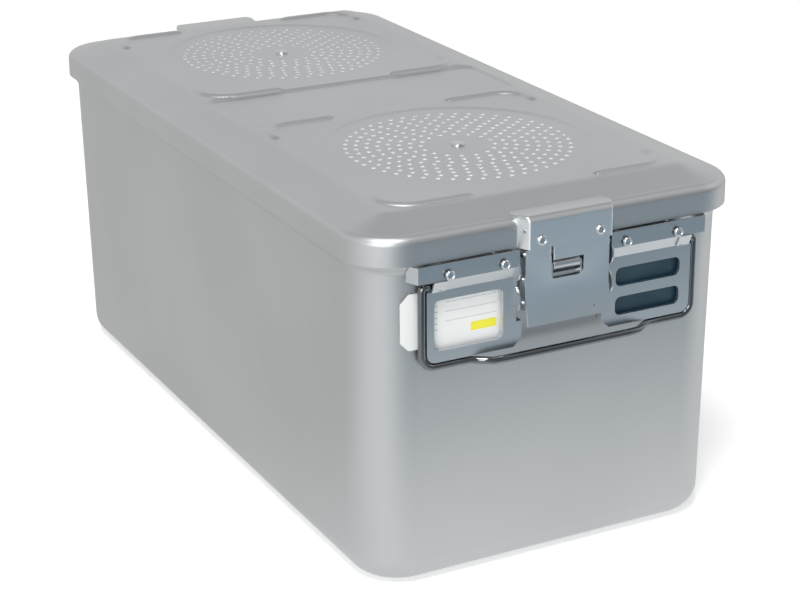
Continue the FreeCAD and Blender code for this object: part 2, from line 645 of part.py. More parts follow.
def hood():
    # A pressed cap on the skirt, open below and behind, shaped to the edge of the lid
    back = SKIRT_Y + HOOD_BACK
    outline = [(-HOOD_HALF - HOOD_FLARE, back), (-HOOD_HALF - HOOD_FLARE, SKIRT_Y), (-HOOD_HALF, HOOD_Y),
               (HOOD_HALF, HOOD_Y), (HOOD_HALF + HOOD_FLARE, SKIRT_Y), (HOOD_HALF + HOOD_FLARE, back)]
    shell = plan_profile(outline, SKIRT_BOTTOM, HOOD_TOP)
    front = [e for e in shell.Edges if all(abs(v.Y - HOOD_Y) < 1e-6 and abs(v.Z - HOOD_TOP) < 1e-6
                                           for v in e.Vertexes)]
    shell = shell.makeFillet(HOOD_EDGE, front)
    t = HOOD_SHEET
    inner = [(-HOOD_HALF - HOOD_FLARE + t, back - 1), (-HOOD_HALF - HOOD_FLARE + t, SKIRT_Y),
             (-HOOD_HALF + t, HOOD_Y + t), (HOOD_HALF - t, HOOD_Y + t),
             (HOOD_HALF + HOOD_FLARE - t, SKIRT_Y), (HOOD_HALF + HOOD_FLARE - t, back - 1)]
    shell = shell.cut(plan_profile(inner, SKIRT_BOTTOM - 1, HOOD_TOP - t))
    shell = shell.cut(lid_outside())
    reach = HOOD_HALF + HOOD_FLARE
    cutters = [pin_x(HOOD_PIN_RADIUS + RUNNING, -reach, reach, SKIRT_Y - HOOD_PIN_DEPTH, HOOD_PIN_Z)]
    for x in (-HOOD_RIVET_X, HOOD_RIVET_X):
        cutters.append(pin_y(RIVET_SHANK + RUNNING, x, HOOD_Y - 1, HOOD_Y + t + 1, HOOD_RIVET_Z, RIVET_SIDES))
    shape = shell.cut(cutters)
    return max(shape.Solids, key=lambda s: s.Volume)


def hood_rivets():
    inner = SKIRT_Y + LID_SHEET + RIVET_TAIL / 2
    return Part.makeCompound([rivet(x, HOOD_RIVET_Z, HOOD_Y, inner) for x in (-HOOD_RIVET_X, HOOD_RIVET_X)])


def hood_pin():
    half = HOOD_HALF + HOOD_FLARE * HOOD_PIN_DEPTH / HOOD_DEPTH
    return pin_x(HOOD_PIN_RADIUS, -half, half, SKIRT_Y - HOOD_PIN_DEPTH, HOOD_PIN_Z)


def hinge_leaf():
    # A strip on the skirt, curled round the hood's pin above and the hinge pin below
    t = LEAF_SHEET
    eye_y = SKIRT_Y - HOOD_PIN_DEPTH
    upper = HOOD_PIN_RADIUS + t
    lower = HINGE_PIN_RADIUS + t
    strip = box(-LEAF_HALF, LEAF_HALF, SKIRT_Y - t, SKIRT_Y, SKIRT_BOTTOM - 1.0, HOOD_PIN_Z + upper)
    neck = box(-LEAF_HALF, LEAF_HALF, SKIRT_Y - t, SKIRT_Y, HINGE_Z, SKIRT_BOTTOM)
    bridge = box(-LEAF_HALF, LEAF_HALF, eye_y, SKIRT_Y, HOOD_PIN_Z + upper - t, HOOD_PIN_Z + upper)
    eyes = [pin_x(upper, -LEAF_HALF, LEAF_HALF, eye_y, HOOD_PIN_Z),
            pin_x(lower, -LEAF_HALF, LEAF_HALF, HINGE_Y, HINGE_Z)]
    shape = join([strip, neck, bridge] + eyes)
    return shape.cut([pin_x(HOOD_PIN_RADIUS + RUNNING, -LEAF_HALF, LEAF_HALF, eye_y, HOOD_PIN_Z),
                      bore_x(HINGE_PIN_RADIUS, -LEAF_HALF, LEAF_HALF, HINGE_Y, HINGE_Z)])


def cross_pin(radius, y, z):
    return pin_x(radius, -FLAP_HALF - PIN_PROUD, FLAP_HALF + PIN_PROUD, y, z)


def latch_flap():
    t = FLAP_SHEET
    lip_y = FLAP_Y - FLAP_LIP_OUT
    face = side_profile([(FLAP_Y, FLAP_TOP), (FLAP_Y, FLAP_LIP_Z), (lip_y, FLAP_BOTTOM),
                         (lip_y + t, FLAP_BOTTOM), (FLAP_Y + t, FLAP_LIP_Z), (FLAP_Y + t, FLAP_TOP)],
                        -FLAP_HALF, FLAP_HALF)
    back = FLAP_Y + FLAP_DEPTH
    pieces = [face]
    for side in (-1, 1):
        x0, x1 = sorted((side * FLAP_HALF, side * (FLAP_HALF - t)))
        cut = FLAP_FLANGE_CUT
        flange = side_profile([(FLAP_Y, HINGE_Z), (FLAP_Y, FLAP_FLANGE_BOTTOM),
                               (back - cut / 2, FLAP_FLANGE_BOTTOM), (back, FLAP_FLANGE_BOTTOM + cut),
                               (back, HINGE_Z - FLAP_EYE), (HINGE_Y + FLAP_EYE, HINGE_Z)], x0, x1)
        pieces += [flange, pin_x(FLAP_EYE, x0, x1, HINGE_Y, HINGE_Z)]
    flap = join(pieces)
    window = front_profile(rounded(-FLAP_WINDOW_HALF, FLAP_WINDOW_HALF, FLAP_WINDOW_BOTTOM,
                                   FLAP_TOP + FLAP_WINDOW_CORNER + 1, FLAP_WINDOW_CORNER, CORNER_STEPS),
                           FLAP_Y - 1, FLAP_Y + t)
    holes = [window]
    for radius, y, z in ((HINGE_PIN_RADIUS, HINGE_Y, HINGE_Z), (PIN_RADIUS, ROCKER_Y, ROCKER_Z),
                         (PIN_RADIUS, ROCKER_Y, STOP_PIN_Z)):
        holes.append(pin_x(radius + RUNNING, -FLAP_HALF - 2, FLAP_HALF + 2, y, z))
    holes.append(pin_y(FLAP_SEAL_HOLE, FLAP_SEAL_X, lip_y - 1, FLAP_Y + t, FLAP_BOTTOM + FLAP_SEAL_RISE))
    return flap.cut(holes).Solids[0]


def rocker():
    # The sprung carrier that holds the roller between two arms
    t = ROCKER_SHEET
    pieces = []
    for side in (-1, 1):
        x0, x1 = sorted((side * (ROLLER_HALF + SEAT), side * (ROLLER_HALF + SEAT + t)))
        eye_low = pin_x(ROCKER_EYE, x0, x1, ROCKER_Y, ROCKER_Z)
        eye_top = pin_x(ROCKER_EYE, x0, x1, ROCKER_Y, ROLLER_Z)
        arm = box(x0, x1, ROCKER_Y - ROCKER_EYE, ROCKER_Y + ROCKER_EYE, ROCKER_Z, ROLLER_Z)
        tail = box(x0, x1, ROCKER_Y - ROCKER_TAIL_FRONT, ROCKER_Y + ROCKER_EYE,
                   ROCKER_Z - ROCKER_TAIL, ROCKER_Z)
        pieces += [eye_low, eye_top, arm, tail]
    reach = ROLLER_HALF + SEAT + t
    web = box(-reach, reach, ROCKER_Y + ROCKER_EYE - t, ROCKER_Y + ROCKER_EYE,
              ROCKER_Z - ROCKER_TAIL, ROCKER_Z - PIN_RADIUS - ROCKER_WEB_GAP)
    shape = join(pieces + [web])
    return shape.cut([bore_x(PIN_RADIUS, -reach, reach, ROCKER_Y, ROCKER_Z),
                      pin_x(PIN_RADIUS + RUNNING, -reach, reach, ROCKER_Y, ROLLER_Z)])


def roller_axle():
    reach = ROLLER_HALF + SEAT + ROCKER_SHEET
    return pin_x(PIN_RADIUS, -reach, reach, ROCKER_Y, ROLLER_Z)


def roller():
    body = pin_x(ROLLER_RADIUS, -ROLLER_HALF, ROLLER_HALF, ROCKER_Y, ROLLER_Z, LOBE_SIDES)
    return body.cut(bore_x(PIN_RADIUS, -ROLLER_HALF, ROLLER_HALF, ROCKER_Y, ROLLER_Z))


def rocker_spring():
    x0 = ROLLER_HALF + SEAT + ROCKER_SHEET + SEAT
    coil = pin_x(SPRING_RADIUS, x0, x0 + SPRING_LENGTH, ROCKER_Y, ROCKER_Z)
    return coil.cut(pin_x(PIN_RADIUS + SEAT, x0 - 1, x0 + SPRING_LENGTH + 1, ROCKER_Y, ROCKER_Z))


def spring_catch():
    # A spring strip on the back of the bay, with a nose that stands over the roller
    t = CATCH_SHEET
    back = CATCH_BACK - t
    nose_z = ROLLER_Z + ROLLER_RADIUS + CATCH_GAP
    strip = box(-CATCH_HALF, CATCH_HALF, back, CATCH_BACK, nose_z - CATCH_LENGTH, nose_z + t)
    nose = box(-CATCH_HALF, CATCH_HALF, back - CATCH_NOSE, CATCH_BACK, nose_z, nose_z + t)
    return join([strip, nose])


def label_card():
    card = box(CARD_LEFT, LABEL_RIGHT + CARD_LAP, CARD_Y, CARD_Y + CARD_THICKNESS,
               CARD_BOTTOM, CARD_BOTTOM + CARD_HEIGHT)
    edges = [e for e in card.Edges if abs(e.Vertexes[0].Y - e.Vertexes[1].Y) > 1e-6
             and e.Vertexes[0].X < CARD_LEFT + 1]
    return card.makeChamfer(CARD_CHAMFER, edges)


def tag(bottom):
    lap = (TAG_HEIGHT - SLOT_HEIGHT) / 2
    return box(SLOT_LEFT - TAG_LAP_LEFT, SLOT_RIGHT + TAG_LAP_RIGHT, CARD_Y, CARD_Y + CARD_THICKNESS,
               bottom - lap, bottom + SLOT_HEIGHT + lap)


def save(name, shape):
    shape.exportStep("parts/" + name + ".step")


def save_pair(name, shape):
    save(name + "_front", shape)
    save(name + "_rear", to_rear(shape))


save("tub", tub())
save("lid", lid())
save("lid_gasket", lid_gasket())
save_pair("filter", filter_disc())
save_pair("filter_retainer", retainer())
save_pair("retainer_stud", retainer_stud())
save_pair("end_plate", end_plate())
save_pair("plate_rivets", plate_rivets())
save_pair("handle", handle())
save_pair("lid_hood", hood())
save_pair("hood_rivets", hood_rivets())
save_pair("hood_pin", hood_pin())
save_pair("hinge_leaf", hinge_leaf())
save_pair("hinge_pin", cross_pin(HINGE_PIN_RADIUS, HINGE_Y, HINGE_Z))
save_pair("latch_flap", latch_flap())
save_pair("rocker_pin", cross_pin(PIN_RADIUS, ROCKER_Y, ROCKER_Z))
save_pair("stop_pin", cross_pin(PIN_RADIUS, ROCKER_Y, STOP_PIN_Z))
save_pair("roller_rocker", rocker())
save_pair("roller_axle", roller_axle())
save_pair("latch_roller", roller())
save_pair("rocker_spring", rocker_spring())
save_pair("spring_catch", spring_catch())
save("label_card", label_card())
save("upper_tag", tag(SLOT_BOTTOMS[0]))
save("lower_tag", tag(SLOT_BOTTOMS[1]))
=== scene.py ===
import bmesh
import bpy
import math
from mathutils import Matrix, Vector


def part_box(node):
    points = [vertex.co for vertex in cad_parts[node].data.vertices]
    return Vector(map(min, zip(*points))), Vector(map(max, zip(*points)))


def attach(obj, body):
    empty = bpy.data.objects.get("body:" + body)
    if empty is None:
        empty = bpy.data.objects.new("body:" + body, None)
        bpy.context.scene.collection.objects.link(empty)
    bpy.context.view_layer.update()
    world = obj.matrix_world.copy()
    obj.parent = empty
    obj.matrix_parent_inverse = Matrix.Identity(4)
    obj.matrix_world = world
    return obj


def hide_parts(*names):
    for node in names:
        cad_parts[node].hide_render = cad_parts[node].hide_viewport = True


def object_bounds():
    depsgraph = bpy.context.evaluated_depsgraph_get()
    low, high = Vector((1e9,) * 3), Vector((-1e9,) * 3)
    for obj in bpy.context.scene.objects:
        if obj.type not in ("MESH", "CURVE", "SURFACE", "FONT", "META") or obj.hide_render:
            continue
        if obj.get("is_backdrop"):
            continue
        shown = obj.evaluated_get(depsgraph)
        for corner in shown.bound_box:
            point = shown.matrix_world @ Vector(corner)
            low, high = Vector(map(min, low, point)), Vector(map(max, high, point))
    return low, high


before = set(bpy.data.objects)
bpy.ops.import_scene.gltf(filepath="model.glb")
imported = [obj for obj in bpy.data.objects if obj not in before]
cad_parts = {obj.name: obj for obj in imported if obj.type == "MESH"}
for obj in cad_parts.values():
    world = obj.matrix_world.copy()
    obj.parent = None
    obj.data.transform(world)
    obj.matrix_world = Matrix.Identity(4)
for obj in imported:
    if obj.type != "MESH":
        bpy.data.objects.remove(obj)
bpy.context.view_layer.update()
bpy.context.scene.view_settings.view_transform = "Standard"


# Studio: a white floor that keeps the container's soft shadow, a white surround and large
# soft lamps. The satin metal mirrors a floor that is bright close by, mid grey beside and
# behind the container, and dark blue-grey further out in front of it.
FLOOR_SIZE = 12.0
FLOOR_NEAR = (0.92, 0.93, 0.93, 1.0)
FLOOR_FRONT = (0.19, 0.27, 0.33, 1.0)
FLOOR_SIDE = (0.68, 0.68, 0.67, 1.0)
FLOOR_GLOW = (0.30, 0.30, 0.30, 1.0)
FRONT_FADE = (0.33, 0.85)
FRONT_FADE_ACROSS = (-0.55, -0.20)
SIDE_FADE = (-0.35, 0.05)
BLACK = (0.0, 0.0, 0.0, 1.0)
WHITE = (1.0, 1.0, 1.0, 1.0)
SKY_STOPS = ((0.0, 0.62), (0.36, 0.80), (0.53, 0.80), (0.74, 0.40), (1.0, 0.45))
SKY_FRONT_FADE = (0.1, 0.8)
SKY_FRONT_DARKER = 0.55
STOPS_OF_A_NEW_RAMP = 2
LAMPS = (("left card", (-2.2, -2.4, 1.2), 1.8, 36.0),
         ("top card", (-0.9, -1.25, 2.7), 0.9, 44.0),
         ("right card", (2.6, -1.4, 2.6), 2.6, 6.0))
LAMP_AIM = Vector((0.0, 0.0, 0.12))


class Shade:
    """A node socket that can be used in sums. Its tree makes any other node."""

    def __init__(self, tree, socket):
        self.tree = tree
        self.socket = socket

    def node(self, kind, settings, inputs, output=0):
        made = self.tree.nodes.new(kind)
        for name, value in settings.items():
            setattr(made, name, value)
        for name, value in inputs.items():
            if isinstance(value, Shade):
                self.tree.links.new(value.socket, made.inputs[name])
            else:
                made.inputs[name].default_value = value
        return Shade(self.tree, made.outputs[output])

    def math(self, operation, first, second):
        return self.node("ShaderNodeMath", {"operation": operation}, {0: first, 1: second})

    def __add__(self, other):
        return self.math("ADD", self, other)

    __radd__ = __add__

    def __mul__(self, other):
        return self.math("MULTIPLY", self, other)

    __rmul__ = __mul__

    def __sub__(self, other):
        return self.math("SUBTRACT", self, other)

    def __rsub__(self, other):
        return self.math("SUBTRACT", other, self)

    def __gt__(self, other):
        return self.math("GREATER_THAN", self, other)

    def __lt__(self, other):
        return self.math("LESS_THAN", self, other)

    def smooth(self, low, high):
        """Rises softly from 0 at the low value to 1 at the high one."""
        return self.node("ShaderNodeMapRange", {"interpolation_type": "SMOOTHSTEP"},
                         {"Value": self, "From Min": low, "From Max": high})

    def mixed(self, first, second):
        """The first colour where this is 0 and the second where it is 1."""
        return self.node("ShaderNodeMix", {"data_type": "RGBA"},
                         {"Factor": self, "A": first, "B": second}, "Result")

    def axes(self):
        parts = self.node("ShaderNodeSeparateXYZ", {}, {0: self})
        outputs = parts.socket.node.outputs
        return [Shade(self.tree, outputs[i]) for i in range(3)]


def coordinates(tree, kind="Object"):
    return Shade(tree, tree.nodes.new("ShaderNodeTexCoord").outputs[kind])


def light_path(tree, kind):
    return Shade(tree, tree.nodes.new("ShaderNodeLightPath").outputs[kind])


bpy.ops.object.select_all(action="DESELECT")
bpy.ops.mesh.primitive_plane_add(size=FLOOR_SIZE, location=(0.0, 0.0, 0.0))
floor = bpy.context.object
floor.name = "studio floor"
white = bpy.data.materials.new("white floor")
white.use_nodes = True
tree = white.node_tree
tree.nodes.clear()
x, y = coordinates(tree).axes()[:2]
to_front = (-1 * y).smooth(*FRONT_FADE) * x.smooth(*FRONT_FADE_ACROSS)
to_side = y.smooth(*SIDE_FADE)
seen = to_side.mixed(to_front.mixed(FLOOR_NEAR, FLOOR_FRONT), FLOOR_SIDE)
matte = x.node("ShaderNodeBsdfDiffuse", {}, {"Color": WHITE})
camera_glow = light_path(tree, "Is Camera Ray").mixed(BLACK, FLOOR_GLOW)
glow = x.node("ShaderNodeEmission", {}, {"Color": camera_glow})
lit = x.node("ShaderNodeAddShader", {}, {0: matte, 1: glow})
mirrored = x.node("ShaderNodeEmission", {}, {"Color": seen})
both = x.node("ShaderNodeMixShader", {},
              {0: light_path(tree, "Is Glossy Ray"), 1: lit, 2: mirrored})
output = tree.nodes.new("ShaderNodeOutputMaterial")
tree.links.new(both.socket, output.inputs["Surface"])
floor.data.materials.append(white)
floor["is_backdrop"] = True

world = bpy.data.worlds.new("white surround")
bpy.context.scene.world = world
world.use_nodes = True
tree = world.node_tree
depth, height = coordinates(tree, "Generated").axes()[1:]
ramp = tree.nodes.new("ShaderNodeValToRGB")
tree.links.new(height.socket, ramp.inputs["Fac"])
stops = ramp.color_ramp.elements
for index, (position, brightness) in enumerate(SKY_STOPS):
    stop = stops[index] if index < STOPS_OF_A_NEW_RAMP else stops.new(position)
    stop.position = position
    stop.color = (brightness, brightness, brightness, 1.0)
darker = 1 - (-1 * depth).smooth(*SKY_FRONT_FADE) * SKY_FRONT_DARKER
sky = Shade(tree, ramp.outputs["Color"]) * darker
background = light_path(tree, "Is Camera Ray").mixed(sky, WHITE)
tree.links.new(background.socket, tree.nodes["Background"].inputs["Color"])

for name, place, size, power in LAMPS:
    light = bpy.data.lights.new(name, "AREA")
    light.shape = "SQUARE"
    light.size = size
    light.energy = power
    holder = bpy.data.objects.new(name, light)
    bpy.context.collection.objects.link(holder)
    holder.location = place
    holder.rotation_euler = (LAMP_AIM - Vector(place)).to_track_quat("-Z", "Y").to_euler()


# Camera: it stands to the left of the label end and a little above it, with a long lens,
# and is rolled by half a degree.
CAMERA_AZIMUTH = math.radians(-27.29)
CAMERA_ELEVATION = math.radians(20.94)
CAMERA_ROLL = math.radians(-0.48)
CAMERA_DISTANCE = 1.6301
CAMERA_TARGET = Vector((0.0174, -0.0240, 0.0949))
CAMERA_LENS = 94.70
SENSOR_WIDTH = 36.0

back = Vector((math.sin(CAMERA_AZIMUTH) * math.cos(CAMERA_ELEVATION),
               -math.cos(CAMERA_AZIMUTH) * math.cos(CAMERA_ELEVATION),
               math.sin(CAMERA_ELEVATION)))
right = (-back).cross(Vector((0.0, 0.0, 1.0))).normalized()
up = right.cross(-back)
turned_right = right * math.cos(CAMERA_ROLL) + up * math.sin(CAMERA_ROLL)
turned_up = up * math.cos(CAMERA_ROLL) - right * math.sin(CAMERA_ROLL)
lens = bpy.data.cameras.new("camera")
lens.lens = CAMERA_LENS
lens.sensor_width = SENSOR_WIDTH
camera = bpy.data.objects.new("camera", lens)
bpy.context.collection.objects.link(camera)
camera.matrix_world = (Matrix.Translation(CAMERA_TARGET + back * CAMERA_DISTANCE)
                       @ Matrix((turned_right, turned_up, back)).transposed().to_4x4())
bpy.context.scene.camera = camera


# Tub: one deep-drawn sheet of aluminium, satin anodised. The walls lean out a little, the
# floor edge is rounded, and a short flare under the lid widens it into a straight collar.
TUB_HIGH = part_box("tub")[1]
TUB_CORNER = 0.036
TUB_CORNER_STEPS = 16
TUB_FLOOR_RADIUS = 0.0175
TUB_FLOOR_STEPS = 9
TUB_WALL = 0.002
TUB_LEAN = 0.0024
FLARE_OUT = 0.0031
FLARE_FOOT = 0.2228
FLARE_TOP = 0.2285
FLARE_BEND = 0.0016
ALUMINIUM = (0.600, 0.612, 0.620, 1.0)
ALUMINIUM_DEEP = (0.575, 0.590, 0.600, 1.0)
ANODISED = {"roughness": 0.42, "grain": 0.05, "scale": (1400.0, 1400.0, 1400.0), "bump": 0.05}
GRAIN_DETAIL = 3.0
CLOUD_SCALE = 7.0
CLOUD_DETAIL = 2.0
CLOUD_FADE = (0.35, 0.65)
CLOUD_ROUGHNESS = 0.05
BUMP_DISTANCE = 0.001
X_AXIS = 0
Y_AXIS = 1
Z_AXIS = 2
FACING = 0.9
ALONG = 0.6
NEAR = 1e-5


def metal(name, light, deep, roughness, grain, scale, bump):
    """A metal whose colour drifts softly and whose fine grain varies its roughness."""
    material = bpy.data.materials.new(name)
    material.use_nodes = True
    tree = material.node_tree
    shader = tree.nodes["Principled BSDF"]
    shader.inputs["Metallic"].default_value = 1.0
    place = coordinates(tree)
    stretched = place.node("ShaderNodeMapping", {}, {"Vector": place, "Scale": scale})
    speck = place.node("ShaderNodeTexNoise", {},
                       {"Vector": stretched, "Scale": 1.0, "Detail": GRAIN_DETAIL})
    cloud = place.node("ShaderNodeTexNoise", {},
                       {"Vector": place, "Scale": CLOUD_SCALE, "Detail": CLOUD_DETAIL})
    colour = cloud.smooth(*CLOUD_FADE).mixed(light, deep)
    middle = roughness - grain - CLOUD_ROUGHNESS / 2
    rough = speck * (2 * grain) + cloud * CLOUD_ROUGHNESS + middle
    lift = place.node("ShaderNodeBump", {},
                      {"Height": speck, "Distance": BUMP_DISTANCE, "Strength": bump})
    tree.links.new(colour.socket, shader.inputs["Base Color"])
    tree.links.new(rough.socket, shader.inputs["Roughness"])
    tree.links.new(lift.socket, shader.inputs["Normal"])
    return material


def only(piece):
    """Selects one piece and nothing else."""
    bpy.ops.object.select_all(action="DESELECT")
    piece.select_set(True)
    bpy.context.view_layer.objects.active = piece


def block(name, low, high):
    """A box between two corners, with its place in its mesh."""
    bpy.ops.object.select_all(action="DESELECT")
    bpy.ops.mesh.primitive_cube_add(size=1.0, location=(Vector(low) + Vector(high)) / 2)
    made = bpy.context.object
    made.name = name
    made.scale = Vector(high) - Vector(low)
    bpy.ops.object.transform_apply(location=True, rotation=False, scale=True)
    return made


def edit(piece):
    only(piece)
    bpy.ops.object.mode_set(mode="EDIT")


def leave():
    bpy.ops.object.mode_set(mode="OBJECT")


def pick(piece, kind, test):
    """In edit mode, selects only the faces, edges or vertices that pass the test."""
    bpy.ops.mesh.select_mode(type=kind)
    bpy.ops.mesh.select_all(action="DESELECT")
    mesh = bmesh.from_edit_mesh(piece.data)
    parts = {"VERT": mesh.verts, "EDGE": mesh.edges, "FACE": mesh.faces}[kind]
    for part in parts:
        if test(part):
            part.select_set(True)
    mesh.select_flush_mode()
    bmesh.update_edit_mesh(piece.data)


def facing(axis, sign, least=FACING):
    """A test for faces that point up an axis, or down it where the sign is -1."""
    def test(face):
        return sign * face.normal[axis] > least
    return test


def along(axis):
    """A test for edges that run mostly along one axis."""
    def test(edge):
        run = edge.verts[1].co - edge.verts[0].co
        return abs(run[axis]) > ALONG * run.length
    return test


def level(axis, value):
    """A test for edges that lie at one value of an axis."""
    def test(edge):
        return all(abs(v.co[axis] - value) < NEAR for v in edge.verts)
    return test


def spread(width, length, lift):
    """Scales the selection to a new width and length about the middle and lifts it."""
    bpy.ops.transform.resize(value=(width, length, 1.0), center_override=(0.0, 0.0, 0.0))
    bpy.ops.transform.translate(value=(0.0, 0.0, lift))


def bevel(piece, test, size, steps):
    """In edit mode, rounds the edges that pass the test."""
    pick(piece, "EDGE", test)
    bpy.ops.mesh.bevel(offset=size, offset_type="OFFSET", segments=steps, affect="EDGES")


def modify(piece, kind, **settings):
    """Adds one modifier and applies it."""
    only(piece)
    made = piece.modifiers.new(kind.lower(), kind)
    for name, value in settings.items():
        setattr(made, name, value)
    bpy.ops.object.modifier_apply(modifier=made.name)


def smooth(piece, degrees=32.0):
    """Smooth shading, with flat faces kept flat beside small round ones."""
    only(piece)
    bpy.ops.object.shade_smooth_by_angle(angle=math.radians(degrees))
    modify(piece, "WEIGHTED_NORMAL", keep_sharp=True)


def finish(piece, material, node, body):
    """Gives a piece its material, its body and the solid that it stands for."""
    piece.data.materials.clear()
    piece.data.materials.append(material)
    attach(piece, body)
    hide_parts(node)


tub_x = TUB_HIGH.x - FLARE_OUT - TUB_LEAN
tub_y = TUB_HIGH.y - FLARE_OUT - TUB_LEAN
tub = block("tub_shell", (-tub_x, -tub_y, 0.0), (tub_x, tub_y, FLARE_FOOT))
edit(tub)
pick(tub, "FACE", facing(Z_AXIS, 1))
spread((tub_x + TUB_LEAN) / tub_x, (tub_y + TUB_LEAN) / tub_y, 0.0)
bevel(tub, along(Z_AXIS), TUB_CORNER, TUB_CORNER_STEPS)
bevel(tub, level(Z_AXIS, 0.0), TUB_FLOOR_RADIUS, TUB_FLOOR_STEPS)
pick(tub, "FACE", facing(Z_AXIS, 1))
bpy.ops.mesh.delete(type="ONLY_FACE")
pick(tub, "EDGE", level(Z_AXIS, FLARE_FOOT))
tub_x += TUB_LEAN
tub_y += TUB_LEAN
bpy.ops.mesh.extrude_edges_move()
spread((tub_x + FLARE_OUT) / tub_x, (tub_y + FLARE_OUT) / tub_y, FLARE_TOP - FLARE_FOOT)
bpy.ops.mesh.extrude_edges_move()
spread(1.0, 1.0, TUB_HIGH.z - FLARE_TOP)
for bend in (FLARE_FOOT, FLARE_TOP):
    bevel(tub, level(Z_AXIS, bend), FLARE_BEND, 3)
leave()
modify(tub, "SOLIDIFY", thickness=TUB_WALL, offset=-1.0)
smooth(tub)
anodised = metal("satin anodised aluminium", ALUMINIUM, ALUMINIUM_DEEP, **ANODISED)
finish(tub, anodised, "tub", "container")


# End plates: one pressing of satin stainless sheet at each end, with a raised strip, a label
# frame and a tag frame. The windows have rolled lips, and small covers close the slope over
# the pivots of the handle. It is riveted under the collar.
STRIP_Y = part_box("end_plate_front")[0].y
STRIP_DEPTH = 0.0038
PLATE_Y = STRIP_Y + STRIP_DEPTH
PLATE_SHEET = 0.0012
STRIP_BOTTOM = 0.2173
SLOPE_END = 0.2095
NOTCH_INNER = 0.0875
NOTCH_OUTER = 0.0972
LABEL_WINDOW = (-0.0948, -0.0444, 0.1686, 0.2032)
TAG_WINDOWS = ((0.0410, 0.0916, 0.1884, 0.2014), (0.0410, 0.0916, 0.1680, 0.1810))
LIP_RADIUS = 0.0011
LIP_STEPS = 4
PLATE_EDGE = 0.0004
PLATE_BEND_DEGREES = 20.0
STEEL = (0.640, 0.665, 0.685, 1.0)
STEEL_DEEP = (0.600, 0.630, 0.655, 1.0)
BRUSHED = (60.0, 60.0, 2600.0)
MERGE_DISTANCE = 0.00001
FLAT_DEGREES = 1.0


def solid_copy(node):
    """A copy of a solid, with its loose triangles merged into flat faces."""
    only(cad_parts[node])
    bpy.ops.object.duplicate()
    piece = bpy.context.object
    world_place = piece.matrix_world.copy()
    piece.parent = None
    piece.matrix_world = world_place
    bpy.ops.object.transform_apply(location=True, rotation=True, scale=True)
    edit(piece)
    bpy.ops.mesh.select_all(action="SELECT")
    bpy.ops.mesh.remove_doubles(threshold=MERGE_DISTANCE)
    bpy.ops.mesh.dissolve_limited(angle_limit=math.radians(FLAT_DEGREES))
    leave()
    return piece


def joined(pieces, name):
    """Makes several pieces one object."""
    bpy.ops.object.select_all(action="DESELECT")
    for piece in pieces:
        piece.select_set(True)
    bpy.context.view_layer.objects.active = pieces[0]
    bpy.ops.object.join()
    pieces[0].name = name
    return pieces[0]


def moved_copy(piece, move):
    """A copy with its own mesh, moved by a matrix."""
    made = piece.copy()
    made.data = piece.data.copy()
    bpy.context.collection.objects.link(made)
    made.data.transform(move)
    return made


def both_ends(piece, material, node, body):
    """Finishes a front piece and its copy for the rear end, turned half round."""
    rear = moved_copy(piece, Matrix.Rotation(math.pi, 4, "Z"))
    for end, made in (("front", piece), ("rear", rear)):
        made.name = node + "_made_" + end
        finish(made, material, node + "_" + end, body.replace("front", end))


def round_edges(piece, width, degrees=30.0):
    """Rounds every edge that turns by more than an angle."""
    modify(piece, "BEVEL", width=width, segments=3, limit_method="ANGLE",
           angle_limit=math.radians(degrees))


def on_lip(window):
    """A test for the edges round a window, on the face of a frame."""
    left, right, bottom, top = window

    def test(edge):
        return all(abs(v.co.y - PLATE_Y) < NEAR
                   and left - NEAR < v.co.x < right + NEAR
                   and bottom - NEAR < v.co.z < top + NEAR for v in edge.verts)
    return test


plate = solid_copy("end_plate_front")
edit(plate)
for window in (LABEL_WINDOW,) + TAG_WINDOWS:
    bevel(plate, on_lip(window), LIP_RADIUS, LIP_STEPS)
leave()
round_edges(plate, PLATE_EDGE, PLATE_BEND_DEGREES)
covers = []
for side in (-1, 1):
    low, high = sorted((side * NOTCH_INNER, side * NOTCH_OUTER))
    cover = block("cover", (low, PLATE_Y, SLOPE_END), (high, PLATE_Y + PLATE_SHEET, STRIP_BOTTOM))
    edit(cover)
    pick(cover, "FACE", facing(Z_AXIS, 1))
    bpy.ops.transform.translate(value=(0.0, STRIP_Y - PLATE_Y, 0.0))
    leave()
    covers.append(cover)
plate = joined([plate] + covers, "end_plate")
smooth(plate, PLATE_BEND_DEGREES)
stainless = metal("satin stainless steel", STEEL, STEEL_DEEP,
                  roughness=0.30, grain=0.04, scale=BRUSHED, bump=0.03)
both_ends(plate, stainless, "end_plate", "container")


# Rivets: bright blind rivets with a domed rim and a sunk middle. Four hold each end plate
# and two hold each hood. One is modelled and the others are copies of it.
HEAD_RADIUS = 0.0034
HEAD_HEIGHT = 0.0017
HEAD_DOME = 0.0013
HEAD_RIM = 0.0005
HEAD_SUNK = 0.0005
HEAD_FLAT = 0.99
SHANK_RADIUS = 0.0015
SHANK_LENGTH = 0.012
PLATE_RIVET_X = (-0.086, -0.046, 0.046, 0.086)
PLATE_RIVET_Z = 0.2209
RIVET_STEEL = (0.66, 0.68, 0.70, 1.0)


def rod(name, radius, low, high, axis, sides):
    """A cylinder between two points that differ along one axis."""
    bpy.ops.object.select_all(action="DESELECT")
    turns = {X_AXIS: (0.0, math.pi / 2, 0.0), Y_AXIS: (math.pi / 2, 0.0, 0.0),
             Z_AXIS: (0.0, 0.0, 0.0)}
    middle = (Vector(low) + Vector(high)) / 2
    bpy.ops.mesh.primitive_cylinder_add(vertices=sides, radius=radius,
                                        depth=abs(high[axis] - low[axis]),
                                        location=middle, rotation=turns[axis])
    made = bpy.context.object
    made.name = name
    bpy.ops.object.transform_apply(location=True, rotation=True, scale=True)
    return made


